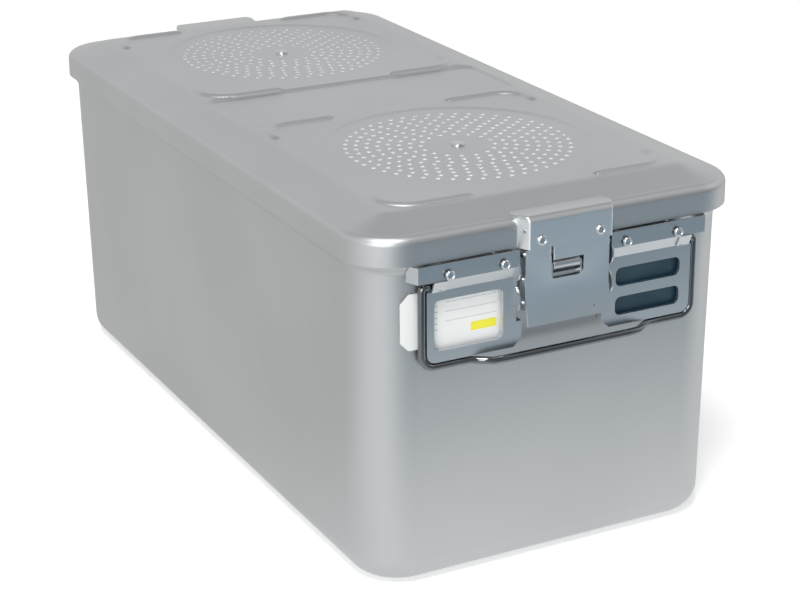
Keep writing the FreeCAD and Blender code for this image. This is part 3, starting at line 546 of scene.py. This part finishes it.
def one_rivet():
    """A rivet at the origin, with its head towards -Y."""
    head = rod("head", HEAD_RADIUS, (0.0, -HEAD_HEIGHT, 0.0), (0.0, 0.0, 0.0), Y_AXIS, 32)
    edit(head)
    bevel(head, level(Y_AXIS, -HEAD_HEIGHT), HEAD_DOME, 5)
    pick(head, "FACE", facing(Y_AXIS, -1, HEAD_FLAT))
    bpy.ops.mesh.inset(thickness=HEAD_RIM, depth=-HEAD_SUNK)
    leave()
    shank = rod("shank", SHANK_RADIUS, (0.0, 0.0, 0.0), (0.0, SHANK_LENGTH, 0.0), Y_AXIS, 16)
    return joined([head, shank], "rivet")


def rivets(places, y, z):
    """A row of copies of the rivet, as one piece."""
    row = joined([moved_copy(rivet, Matrix.Translation((x, y, z))) for x in places], "rivets")
    smooth(row)
    return row


rivet = one_rivet()
rivet_steel = metal("bright rivet steel", RIVET_STEEL, STEEL,
                    roughness=0.20, grain=0.03, scale=(500.0, 500.0, 500.0), bump=0.02)
plate_rivets = rivets(PLATE_RIVET_X, STRIP_Y, PLATE_RIVET_Z)
both_ends(plate_rivets, rivet_steel, "plate_rivets", "container")


# Handles: one piece of polished steel wire at each end, bent to a bail with a grip that
# stands out from the wall. Its ends turn in behind the end plate.
HANDLE_LOW, HANDLE_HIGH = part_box("handle_front")
WIRE_RADIUS = 0.0026
WIRE_ROUNDNESS = 6
HANDLE_X = HANDLE_HIGH.x - WIRE_RADIUS
HANDLE_CORNER = 0.009
HANDLE_CORNER_STEPS = 8
HANDLE_END = 0.0885
END_BEND = 0.003
END_BEND_STEPS = 6
GRIP_HALF = 0.0525
GRIP_JOG = 0.018
GRIP_JOG_SHARES = (0.15, 0.5, 0.85)
GRIP_EASE = 0.006
GRIP_OUT = 0.0095
WIRE_SHARP_DEGREES = 50.0
# Painted reflection: the polished wire is coloured near black, for the dark surroundings that it
# mirrors, and its clear coat gives the bright edges.
WIRE_PAINTED_REFLECTION = (0.17, 0.18, 0.19, 1.0)
WIRE_PAINTED_REFLECTION_DEEP = (0.12, 0.13, 0.14, 1.0)


def wire_route():
    """The middle line of one half of the wire, from the grip to the end."""
    y = HANDLE_HIGH.y - WIRE_RADIUS
    low = HANDLE_LOW.z + WIRE_RADIUS
    top = HANDLE_HIGH.z - WIRE_RADIUS
    points = [Vector((GRIP_HALF - GRIP_EASE, y - GRIP_OUT, low))]
    for share in GRIP_JOG_SHARES:
        ease = share * share * (3 - 2 * share)
        points.append(Vector((GRIP_HALF + share * GRIP_JOG, y - GRIP_OUT * (1 - ease), low)))
    points.append(Vector((GRIP_HALF + GRIP_JOG + GRIP_EASE, y, low)))
    for step in range(HANDLE_CORNER_STEPS + 1):
        turn = math.pi / 2 * step / HANDLE_CORNER_STEPS
        points.append(Vector((HANDLE_X - HANDLE_CORNER * (1 - math.sin(turn)), y,
                              low + HANDLE_CORNER * (1 - math.cos(turn)))))
    for step in range(END_BEND_STEPS + 1):
        turn = math.pi / 2 * step / END_BEND_STEPS
        points.append(Vector((HANDLE_X - END_BEND * (1 - math.cos(turn)), y,
                              top - END_BEND * (1 - math.sin(turn)))))
    points.append(Vector((HANDLE_END, y, top)))
    return points


half = wire_route()
route = [Vector((-p.x, p.y, p.z)) for p in reversed(half)] + half
line = bpy.data.curves.new("wire", "CURVE")
line.dimensions = "3D"
line.bevel_depth = WIRE_RADIUS
line.bevel_resolution = WIRE_ROUNDNESS
line.use_fill_caps = True
strand = line.splines.new("POLY")
strand.points.add(len(route) - 1)
for point, place in zip(strand.points, route):
    point.co = (*place, 1.0)
wire = bpy.data.objects.new("wire", line)
bpy.context.collection.objects.link(wire)
only(wire)
bpy.ops.object.convert(target="MESH")
wire = bpy.context.object
smooth(wire, WIRE_SHARP_DEGREES)
wire_with_painted_reflection = metal("polished wire", WIRE_PAINTED_REFLECTION, WIRE_PAINTED_REFLECTION_DEEP,
               roughness=0.10, grain=0.02, scale=(300.0, 300.0, 300.0), bump=0.01)
wire_with_painted_reflection.node_tree.nodes["Principled BSDF"].inputs["Coat Weight"].default_value = 1.0
both_ends(wire, wire_with_painted_reflection, "handle", "handle_front_body")


# Lid: one drawn sheet of aluminium. Its crown slopes up from a rounded edge to two raised
# panels with a valley between them. Each panel has a shallow dish, a perforated field and
# four elbow-shaped nubs that hold the foot of a container stacked on top.
LID_LOW, LID_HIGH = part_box("lid")
LID_CORNER = 0.0375
LID_CORNER_STEPS = 16
LID_SHEET = 0.0015
LID_EDGE = 0.006
LID_EDGE_STEPS = 6
SKIRT_TOP = 0.2486
SKIRT_BEND = 0.0008
CROWN_TOP = 0.2560
CROWN_RUN = 0.026
CROWN_BEND = 0.003
CROWN_FLAT = 0.999
TOOL_OVER = 0.004
VALLEY_HALF = 0.037
VALLEY_REACH = 0.112
VALLEY_CORNER = 0.012
VALLEY_SIDE = 0.004
VALLEY_DEPTH = 0.0018
DISH_RADIUS = 0.095
DISH_SIDE = 0.003
DISH_DEPTH = 0.0008
DISH_FLOOR = CROWN_TOP - DISH_DEPTH
DISH_OPENING = 0.008
DISH_SIDES = 96
FIELD_Y = 0.1475
FIELD_FIRST_RING = 0.026
FIELD_RING_STEP = 0.0075
FIELD_RINGS = 8
FIELD_HOLE_STEP = 0.010
HOLE_RADIUS = 0.0019
HOLE_SIDES = 10
HOLE_DEPTH = 0.006
NUB_WIDE = 0.0055
NUB_TALL = 0.0042
NUB_SUNK = 0.0024
NUB_REACH_X = 0.105
NUB_REACH_Y = 0.103
NUB_BEND = 0.020
NUB_BEND_STEPS = 10
NUB_SIDES = 24
NUB_ARM_X = 0.034
NUB_ARM_Y = 0.006
NUB_TIP = 0.006
NUB_TIP_END = 0.4 * NUB_TIP
NUB_TIP_START = 0.6 * NUB_TIP
NUB_END_SIZE = 0.6
NUB_WAIST_SIZE = 0.88


def cut_with(piece, tool, operation="DIFFERENCE"):
    """Cuts a piece with a tool, or adds the tool to it, and clears the tool away."""
    modify(piece, "BOOLEAN", object=tool, operation=operation, solver="EXACT")
    bpy.data.objects.remove(tool)


def lid_form(name, sheet, over):
    """The lid as a closed form, moved in by the sheet and down by a little more."""
    half_x = LID_HIGH.x - sheet
    half_y = LID_HIGH.y - sheet
    skirt_top = SKIRT_TOP - over
    form = block(name, (-half_x, -half_y, LID_LOW.z - sheet), (half_x, half_y, skirt_top))
    edit(form)
    bevel(form, along(Z_AXIS), LID_CORNER - sheet, LID_CORNER_STEPS)
    bevel(form, level(Z_AXIS, skirt_top), LID_EDGE - sheet, LID_EDGE_STEPS)
    pick(form, "FACE", facing(Z_AXIS, 1, CROWN_FLAT))
    bpy.ops.mesh.inset(thickness=CROWN_RUN, depth=CROWN_TOP - SKIRT_TOP)
    if not sheet:
        bevel(form, level(Z_AXIS, CROWN_TOP), CROWN_BEND, 3)
        bevel(form, level(Z_AXIS, SKIRT_TOP), SKIRT_BEND, 2)
    leave()
    return form


def valley_tool():
    """A long block whose lower edges lean in. It presses the valley across the crown."""
    wide = VALLEY_SIDE * (VALLEY_DEPTH + TOOL_OVER) / VALLEY_DEPTH
    tool = block("valley tool", (-VALLEY_REACH, -VALLEY_HALF, CROWN_TOP - VALLEY_DEPTH),
                 (VALLEY_REACH, VALLEY_HALF, CROWN_TOP + TOOL_OVER))
    edit(tool)
    bevel(tool, along(Z_AXIS), VALLEY_CORNER, 6)
    pick(tool, "FACE", facing(Z_AXIS, 1))
    spread((VALLEY_REACH + wide) / VALLEY_REACH, (VALLEY_HALF + wide) / VALLEY_HALF, 0.0)
    leave()
    return tool


def dish_tool(y):
    """A drum with a flared top. It presses the sloping side of the dish and opens its middle."""
    tool = rod("dish tool", DISH_RADIUS - DISH_SIDE, (0.0, y, CROWN_TOP - DISH_OPENING),
               (0.0, y, DISH_FLOOR), Z_AXIS, DISH_SIDES)
    grow = DISH_RADIUS / (DISH_RADIUS - DISH_SIDE)
    edit(tool)
    pick(tool, "FACE", facing(Z_AXIS, 1))
    bpy.ops.mesh.extrude_region_move()
    bpy.ops.transform.resize(value=(grow, grow, 1.0), center_override=(0.0, y, CROWN_TOP))
    bpy.ops.transform.translate(value=(0.0, 0.0, DISH_DEPTH))
    bpy.ops.mesh.extrude_region_move()
    bpy.ops.transform.translate(value=(0.0, 0.0, TOOL_OVER))
    leave()
    return tool


def field(y):
    """The perforated disc of one field."""
    disc = rod("field", DISH_RADIUS - DISH_SIDE, (0.0, y, DISH_FLOOR - LID_SHEET),
               (0.0, y, DISH_FLOOR), Z_AXIS, DISH_SIDES)
    holes = []
    for ring in range(FIELD_RINGS):
        radius = FIELD_FIRST_RING + ring * FIELD_RING_STEP
        count = round(2 * math.pi * radius / FIELD_HOLE_STEP)
        for index in range(count):
            angle = 2 * math.pi * (index + 0.5 * (ring % 2)) / count
            place = (radius * math.cos(angle), y + radius * math.sin(angle), DISH_FLOOR)
            bpy.ops.mesh.primitive_cylinder_add(vertices=HOLE_SIDES, radius=HOLE_RADIUS,
                                                depth=HOLE_DEPTH, location=place)
            holes.append(bpy.context.object)
    tool = joined(holes, "hole tool")
    bpy.ops.object.transform_apply(location=True, rotation=True, scale=True)
    cut_with(disc, tool)
    return disc


def grow_on(step, size, middle):
    """Extrudes the selected end face by a step, scales it there and gives its new middle."""
    bpy.ops.mesh.extrude_region_move(TRANSFORM_OT_translate={"value": step})
    end = Vector(middle) + Vector(step)
    bpy.ops.transform.resize(value=(size, size, size), center_override=end)
    return end


def nub_form():
    """One nub about the middle of its bend, with soft ends and an oval section."""
    height = CROWN_TOP - NUB_SUNK
    start = Vector((NUB_BEND, -NUB_ARM_Y - NUB_TIP, height))
    bpy.ops.object.select_all(action="DESELECT")
    bpy.ops.mesh.primitive_circle_add(vertices=NUB_SIDES, radius=1.0, fill_type="NGON",
                                      location=start, rotation=(math.pi / 2, 0.0, 0.0))
    form = bpy.context.object
    form.scale = (NUB_END_SIZE * NUB_WIDE, NUB_END_SIZE * NUB_TALL, 1.0)
    bpy.ops.object.transform_apply(location=True, rotation=True, scale=True)
    edit(form)
    bpy.ops.mesh.select_all(action="SELECT")
    place = grow_on((0.0, NUB_TIP_END, 0.0), NUB_WAIST_SIZE / NUB_END_SIZE, start)
    place = grow_on((0.0, NUB_TIP_START, 0.0), 1 / NUB_WAIST_SIZE, place)
    grow_on((0.0, NUB_ARM_Y, 0.0), 1.0, place)
    bpy.ops.mesh.spin(steps=NUB_BEND_STEPS, angle=-math.pi / 2, center=(0.0, 0.0, height),
                      axis=(0.0, 0.0, 1.0))
    place = Vector((0.0, NUB_BEND, height))
    place = grow_on((-NUB_ARM_X, 0.0, 0.0), 1.0, place)
    place = grow_on((-NUB_TIP_START, 0.0, 0.0), NUB_WAIST_SIZE, place)
    grow_on((-NUB_TIP_END, 0.0, 0.0), NUB_END_SIZE / NUB_WAIST_SIZE, place)
    bpy.ops.mesh.select_all(action="DESELECT")
    bpy.ops.mesh.select_mode(type="FACE")
    bpy.ops.mesh.select_interior_faces()
    bpy.ops.mesh.delete(type="ONLY_FACE")
    bpy.ops.mesh.select_all(action="SELECT")
    bpy.ops.mesh.remove_doubles(threshold=MERGE_DISTANCE)
    bpy.ops.mesh.normals_make_consistent(inside=False)
    leave()
    return form


def nubs():
    """All eight nubs. A mirrored copy gets its faces turned outwards again."""
    first = nub_form()
    made = []
    for side_y in (-1, 1):
        for field_y in (-FIELD_Y, FIELD_Y):
            for side_x in (-1, 1):
                place = Vector((side_x * (NUB_REACH_X - NUB_BEND),
                                field_y + side_y * (NUB_REACH_Y - NUB_BEND), 0.0))
                mirror = Matrix.Diagonal((side_x, side_y, 1.0, 1.0))
                nub = moved_copy(first, Matrix.Translation(place) @ mirror)
                if side_x * side_y < 0:
                    nub.data.flip_normals()
                made.append(nub)
    bpy.data.objects.remove(first)
    return joined(made, "nubs")


lid = lid_form("lid_shell", 0.0, 0.0)
cut_with(lid, valley_tool())
cut_with(lid, nubs(), "UNION")
lid_outline = moved_copy(lid, Matrix())
cut_with(lid, lid_form("inside", LID_SHEET, VALLEY_DEPTH + LID_SHEET))
for side in (-1, 1):
    cut_with(lid, dish_tool(side * FIELD_Y))
front_field = field(-FIELD_Y)
rear_field = moved_copy(front_field, Matrix.Translation((0.0, 2 * FIELD_Y, 0.0)))
lid = joined([lid, front_field, rear_field], "lid_shell")
smooth(lid)
lid_metal = metal("satin anodised lid", ALUMINIUM, ALUMINIUM_DEEP, **ANODISED)
finish(lid, lid_metal, "lid", "lid_body")


# Retainer studs: a low domed stud of stainless steel in the middle of each field, which
# holds the filter's retainer from inside the lid.
STUD_LOW, STUD_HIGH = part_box("retainer_stud_front")
STUD_RADIUS = 0.0050
STUD_DOME = 0.0011
STUD_SHANK_RADIUS = 0.0038

stud_y = (STUD_LOW.y + STUD_HIGH.y) / 2
stud_head = rod("stud", STUD_RADIUS, (0.0, stud_y, DISH_FLOOR), (0.0, stud_y, STUD_HIGH.z),
                Z_AXIS, 40)
edit(stud_head)
bevel(stud_head, level(Z_AXIS, STUD_HIGH.z), STUD_DOME, 4)
leave()
stud_shank = rod("shank", STUD_SHANK_RADIUS, (0.0, stud_y, STUD_LOW.z),
                 (0.0, stud_y, DISH_FLOOR), Z_AXIS, 24)
stud = joined([stud_head, stud_shank], "stud")
smooth(stud)
both_ends(stud, stainless, "retainer_stud", "lid_body")


# Hoods: a pressed cap of stainless sheet at each end of the lid, over the hinge of the latch,
# held by two rivets. Its top lies on the crown's slope, and its sides flare back to the skirt.
HOOD_LOW, HOOD_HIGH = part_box("lid_hood_front")
HOOD_FACE_HALF = 0.031
HOOD_SHEET = 0.0012
HOOD_DEPTH = 0.009
HOOD_LAP = 0.013
HOOD_LAP_DROP = 0.0014
HOOD_BROW = 0.0042
HOOD_BROW_STEPS = 6
HOOD_BEND = 0.0012
HOOD_BEND_DEGREES = 24.0
HOOD_EDGE = 0.0002
HOOD_EDGE_DEGREES = 50.0
# Painted shade: between these two depths below its top edge, the hood is coloured darker, in the
# aluminium colour.
HOOD_PAINTED_SHADE_START = 0.0030
HOOD_PAINTED_SHADE_END = 0.0010
HOOD_RIVET_X = (-0.022, 0.022)
HOOD_RIVET_Z = 0.2348
LATCH_STEEL = (0.93, 0.95, 0.96, 1.0)
LATCH_STEEL_DEEP = (0.86, 0.89, 0.91, 1.0)


def front_brow(edge):
    """The edge between the hood's face and its top."""
    return level(Z_AXIS, HOOD_HIGH.z)(edge) and level(Y_AXIS, HOOD_LOW.y)(edge)


def open_side(face):
    """The underside and the back of the hood, which are open."""
    return facing(Z_AXIS, -1)(face) or facing(Y_AXIS, 1)(face)


def folded(edge):
    """An edge between two faces that meet at more than a slight angle."""
    faces = edge.link_faces
    return (len(faces) == 2
            and faces[0].normal.angle(faces[1].normal) > math.radians(HOOD_BEND_DEGREES))


hood = block("hood", (-HOOD_HIGH.x, HOOD_LOW.y, HOOD_LOW.z),
             (HOOD_HIGH.x, HOOD_LOW.y + HOOD_DEPTH, HOOD_HIGH.z))
edit(hood)
pick(hood, "FACE", facing(Y_AXIS, -1))
spread(HOOD_FACE_HALF / HOOD_HIGH.x, 1.0, 0.0)
pick(hood, "FACE", facing(Y_AXIS, 1))
lap = (0.0, HOOD_LAP, -HOOD_LAP_DROP)
bpy.ops.mesh.extrude_region_move(TRANSFORM_OT_translate={"value": lap})
bevel(hood, front_brow, HOOD_BROW, HOOD_BROW_STEPS)
pick(hood, "FACE", open_side)
bpy.ops.mesh.delete(type="ONLY_FACE")
bevel(hood, folded, HOOD_BEND, 3)
leave()
modify(hood, "SOLIDIFY", thickness=HOOD_SHEET, offset=-1.0)
cut_with(hood, lid_outline)
round_edges(hood, HOOD_EDGE, HOOD_EDGE_DEGREES)
smooth(hood)
hood_steel = metal("hood steel", LATCH_STEEL, LATCH_STEEL_DEEP,
                   roughness=0.34, grain=0.04, scale=BRUSHED, bump=0.03)
# Painted shade: near its top the hood takes the darker aluminium colour, so that its brightly lit
# lap looks as dark as the lid's slope beside it.
tree = hood_steel.node_tree
shader = tree.nodes["Principled BSDF"]
base = Shade(tree, shader.inputs["Base Color"].links[0].from_socket)
height = coordinates(tree).axes()[Z_AXIS]
top = height.smooth(HOOD_HIGH.z - HOOD_PAINTED_SHADE_START, HOOD_HIGH.z - HOOD_PAINTED_SHADE_END)
tree.links.new(top.mixed(base, ALUMINIUM).socket, shader.inputs["Base Color"])
both_ends(hood, hood_steel, "lid_hood", "lid_body")
hood_rivets = rivets(HOOD_RIVET_X, HOOD_LOW.y, HOOD_RIVET_Z)
both_ends(hood_rivets, rivet_steel, "hood_rivets", "lid_body")
bpy.data.objects.remove(rivet)


# Hinge leaves: a stainless strip on the skirt, curled round the hood's pin and the hinge pin.
# Its flat tongue fills the top of the flap's window.
LEAF_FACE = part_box("hinge_leaf_front")[0].y
LEAF_EDGE = 0.0003
TONGUE_HALF = 0.0119
TONGUE_LOW = 0.2193
TONGUE_HIGH = 0.2298
TONGUE_PROUD = 0.0004
TONGUE_SHEET = 0.0012

tongue_y = LEAF_FACE - TONGUE_PROUD
leaf = solid_copy("hinge_leaf_front")
tongue = block("tongue", (-TONGUE_HALF, tongue_y, TONGUE_LOW),
               (TONGUE_HALF, tongue_y + TONGUE_SHEET, TONGUE_HIGH))
leaf = joined([leaf, tongue], "leaf")
round_edges(leaf, LEAF_EDGE)
smooth(leaf)
latch_steel = metal("light stainless steel", LATCH_STEEL, LATCH_STEEL_DEEP,
                    roughness=0.32, grain=0.04, scale=BRUSHED, bump=0.03)
both_ends(leaf, latch_steel, "hinge_leaf", "lid_body")


# Latch flaps: a stainless flap with a kicked-out lower lip, side flanges, three cross pins and
# a window that shows the roller. It swings up on its hinge pin.
FLAP_LIP_TOP = 0.1815
FLAP_LIP_LOWER = 0.0026
FLAP_LIP_OUT = 0.0005
FLAP_EDGE = 0.0005

flap = solid_copy("latch_flap_front")
edit(flap)
pick(flap, "VERT", lambda vertex: vertex.co.z < FLAP_LIP_TOP)
bpy.ops.transform.translate(value=(0.0, -FLAP_LIP_OUT, -FLAP_LIP_LOWER))
leave()
round_edges(flap, FLAP_EDGE)
smooth(flap)
both_ends(flap, latch_steel, "latch_flap", "latch_front")


# Rockers and rollers: the sprung carrier of stainless steel, and a turned steel tube
# that rolls on its axle under the nose of the spring catch.
ROLLER_LOW, ROLLER_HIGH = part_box("latch_roller_front")
ROLLER_RADIUS = 0.0037
ROLLER_EDGE = 0.0004
BORE_RADIUS = 0.0022
BORE_OVER = 0.001
ROCKER_EDGE = 0.0003

rocker = solid_copy("roller_rocker_front")
round_edges(rocker, ROCKER_EDGE)
smooth(rocker)
both_ends(rocker, stainless, "roller_rocker", "rocker_front")

roller_y = (ROLLER_LOW.y + ROLLER_HIGH.y) / 2
roller_z = (ROLLER_LOW.z + ROLLER_HIGH.z) / 2
roller = rod("roller", ROLLER_RADIUS, (ROLLER_LOW.x, roller_y, roller_z),
             (ROLLER_HIGH.x, roller_y, roller_z), X_AXIS, 40)
bore = rod("bore", BORE_RADIUS, (ROLLER_LOW.x - BORE_OVER, roller_y, roller_z),
           (ROLLER_HIGH.x + BORE_OVER, roller_y, roller_z), X_AXIS, 24)
cut_with(roller, bore)
round_edges(roller, ROLLER_EDGE)
smooth(roller)
roller_steel = metal("turned steel", RIVET_STEEL, STEEL,
                     roughness=0.36, grain=0.03, scale=(2200.0, 60.0, 60.0), bump=0.02)
both_ends(roller, roller_steel, "latch_roller", "roller_front")


# Small parts inside the latch and under the lid: steel pins, axles, springs and catches, and
# the aluminium filter retainers. They keep the solids' shape.
SPRING_DEEP = (0.45, 0.47, 0.49, 1.0)


def coat(node_name, material):
    """Gives a solid a material and leaves its shape as it is."""
    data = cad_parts[node_name].data
    data.materials.clear()
    data.materials.append(material)


spring_steel = metal("spring steel", STEEL_DEEP, SPRING_DEEP,
                     roughness=0.32, grain=0.03, scale=(400.0, 400.0, 400.0), bump=0.02)
small_parts = {"hood_pin": stainless, "hinge_pin": rivet_steel, "rocker_pin": rivet_steel,
               "stop_pin": rivet_steel, "roller_axle": rivet_steel,
               "rocker_spring": spring_steel, "spring_catch": spring_steel,
               "filter_retainer": lid_metal}
for part, material in small_parts.items():
    for end in ("front", "rear"):
        coat(part + "_" + end, material)


# Filters and seal: a disc of white fibre under each perforated field, and a seal of grey
# silicone. The fibre glows a little, because too little light comes in through the holes.
PAPER = (0.80, 0.81, 0.80, 1.0)
PAPER_DEEP = (0.72, 0.73, 0.73, 1.0)
PAPER_GLOW = 0.9
SILICONE = (0.060, 0.062, 0.066, 1.0)
SILICONE_DEEP = (0.040, 0.042, 0.046, 1.0)
FLECK_DETAIL = 4.0


def soft_finish(name, first, second, roughness, scale, bump):
    """A finish with no metal in it, whose colour and surface vary with a noise."""
    material = bpy.data.materials.new(name)
    material.use_nodes = True
    tree = material.node_tree
    shader = tree.nodes["Principled BSDF"]
    shader.inputs["Roughness"].default_value = roughness
    place = coordinates(tree)
    fleck = place.node("ShaderNodeTexNoise", {},
                       {"Vector": place, "Scale": scale, "Detail": FLECK_DETAIL})
    colour = fleck.smooth(*CLOUD_FADE).mixed(first, second)
    lift = place.node("ShaderNodeBump", {},
                      {"Height": fleck, "Distance": BUMP_DISTANCE, "Strength": bump})
    tree.links.new(colour.socket, shader.inputs["Base Color"])
    tree.links.new(lift.socket, shader.inputs["Normal"])
    return material


fibre = soft_finish("filter fibre", PAPER, PAPER_DEEP, roughness=0.85, scale=700.0, bump=0.25)
fibre_shader = fibre.node_tree.nodes["Principled BSDF"]
fibre_shader.inputs["Emission Color"].default_value = PAPER
fibre_shader.inputs["Emission Strength"].default_value = PAPER_GLOW
for end in ("front", "rear"):
    coat("filter_" + end, fibre)
silicone = soft_finish("grey silicone", SILICONE, SILICONE_DEEP,
                       roughness=0.55, scale=300.0, bump=0.03)
coat("lid_gasket", silicone)


# Card and tags: a white card with ruled lines and a plain yellow bar slides in behind the
# label window, and two tags of teal plastic slide in behind the slots.
CARD_LOW, CARD_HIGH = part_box("label_card")
CARD_FOOT = 0.1645
CARD_FOOT_LEFT = -0.098
CARD_WHITE = (0.80, 0.82, 0.83, 1.0)
CARD_INK = (0.30, 0.33, 0.36, 1.0)
CARD_INK_SHARE = 0.7
CARD_YELLOW = (0.86, 0.80, 0.05, 1.0)
CARD_LINES = (0.1990, 0.1925, 0.1860)
CARD_LINE_WIDTH = 0.0004
CARD_LINE_ENDS = (-0.0840, -0.0465)
CARD_MARKS = (0.2010, 0.1970, 0.1930, 0.1890, 0.1850, 0.1810)
CARD_MARK_WIDTH = 0.0006
CARD_MARK_ENDS = (-0.0935, -0.0895)
BAR_ENDS = (-0.0655, -0.0465)
BAR_HEIGHTS = (0.1762, 0.1822)
TEAL = (0.018, 0.048, 0.075, 1.0)
TEAL_LIGHT = (0.024, 0.062, 0.090, 1.0)


def inside(value, low, high):
    """1 between two values and 0 outside them."""
    return (value > low) * (value < high)


def stripes(height, starts, width):
    """1 on each stripe, from its start upwards, and 0 between them."""
    made = inside(height, starts[0], starts[0] + width)
    for start in starts[1:]:
        made = made + inside(height, start, start + width)
    return made


def card_finish():
    """White card with grey ruled lines, short marks beside them and a plain yellow bar."""
    material = soft_finish("ruled card", CARD_WHITE, PAPER, roughness=0.45, scale=900.0, bump=0.02)
    tree = material.node_tree
    shader = tree.nodes["Principled BSDF"]
    base = Shade(tree, shader.inputs["Base Color"].links[0].from_socket)
    x, z = coordinates(tree).axes()[::2]
    lines = stripes(z, CARD_LINES, CARD_LINE_WIDTH) * inside(x, *CARD_LINE_ENDS)
    marks = stripes(z, CARD_MARKS, CARD_MARK_WIDTH) * inside(x, *CARD_MARK_ENDS)
    bar = inside(x, *BAR_ENDS) * inside(z, *BAR_HEIGHTS)
    ruled = ((lines + marks) * CARD_INK_SHARE).mixed(base, CARD_INK)
    tree.links.new(bar.mixed(ruled, CARD_YELLOW).socket, shader.inputs["Base Color"])
    return material


card_foot = block("card_foot", (CARD_FOOT_LEFT, CARD_LOW.y, CARD_FOOT),
                  (CARD_HIGH.x, CARD_HIGH.y, CARD_LOW.z))
card = joined([solid_copy("label_card"), card_foot], "ruled_card")
smooth(card)
finish(card, card_finish(), "label_card", "card_body")
teal = soft_finish("teal plastic", TEAL, TEAL_LIGHT, roughness=0.30, scale=40.0, bump=0.01)
coat("upper_tag", teal)
coat("lower_tag", teal)

low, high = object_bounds()
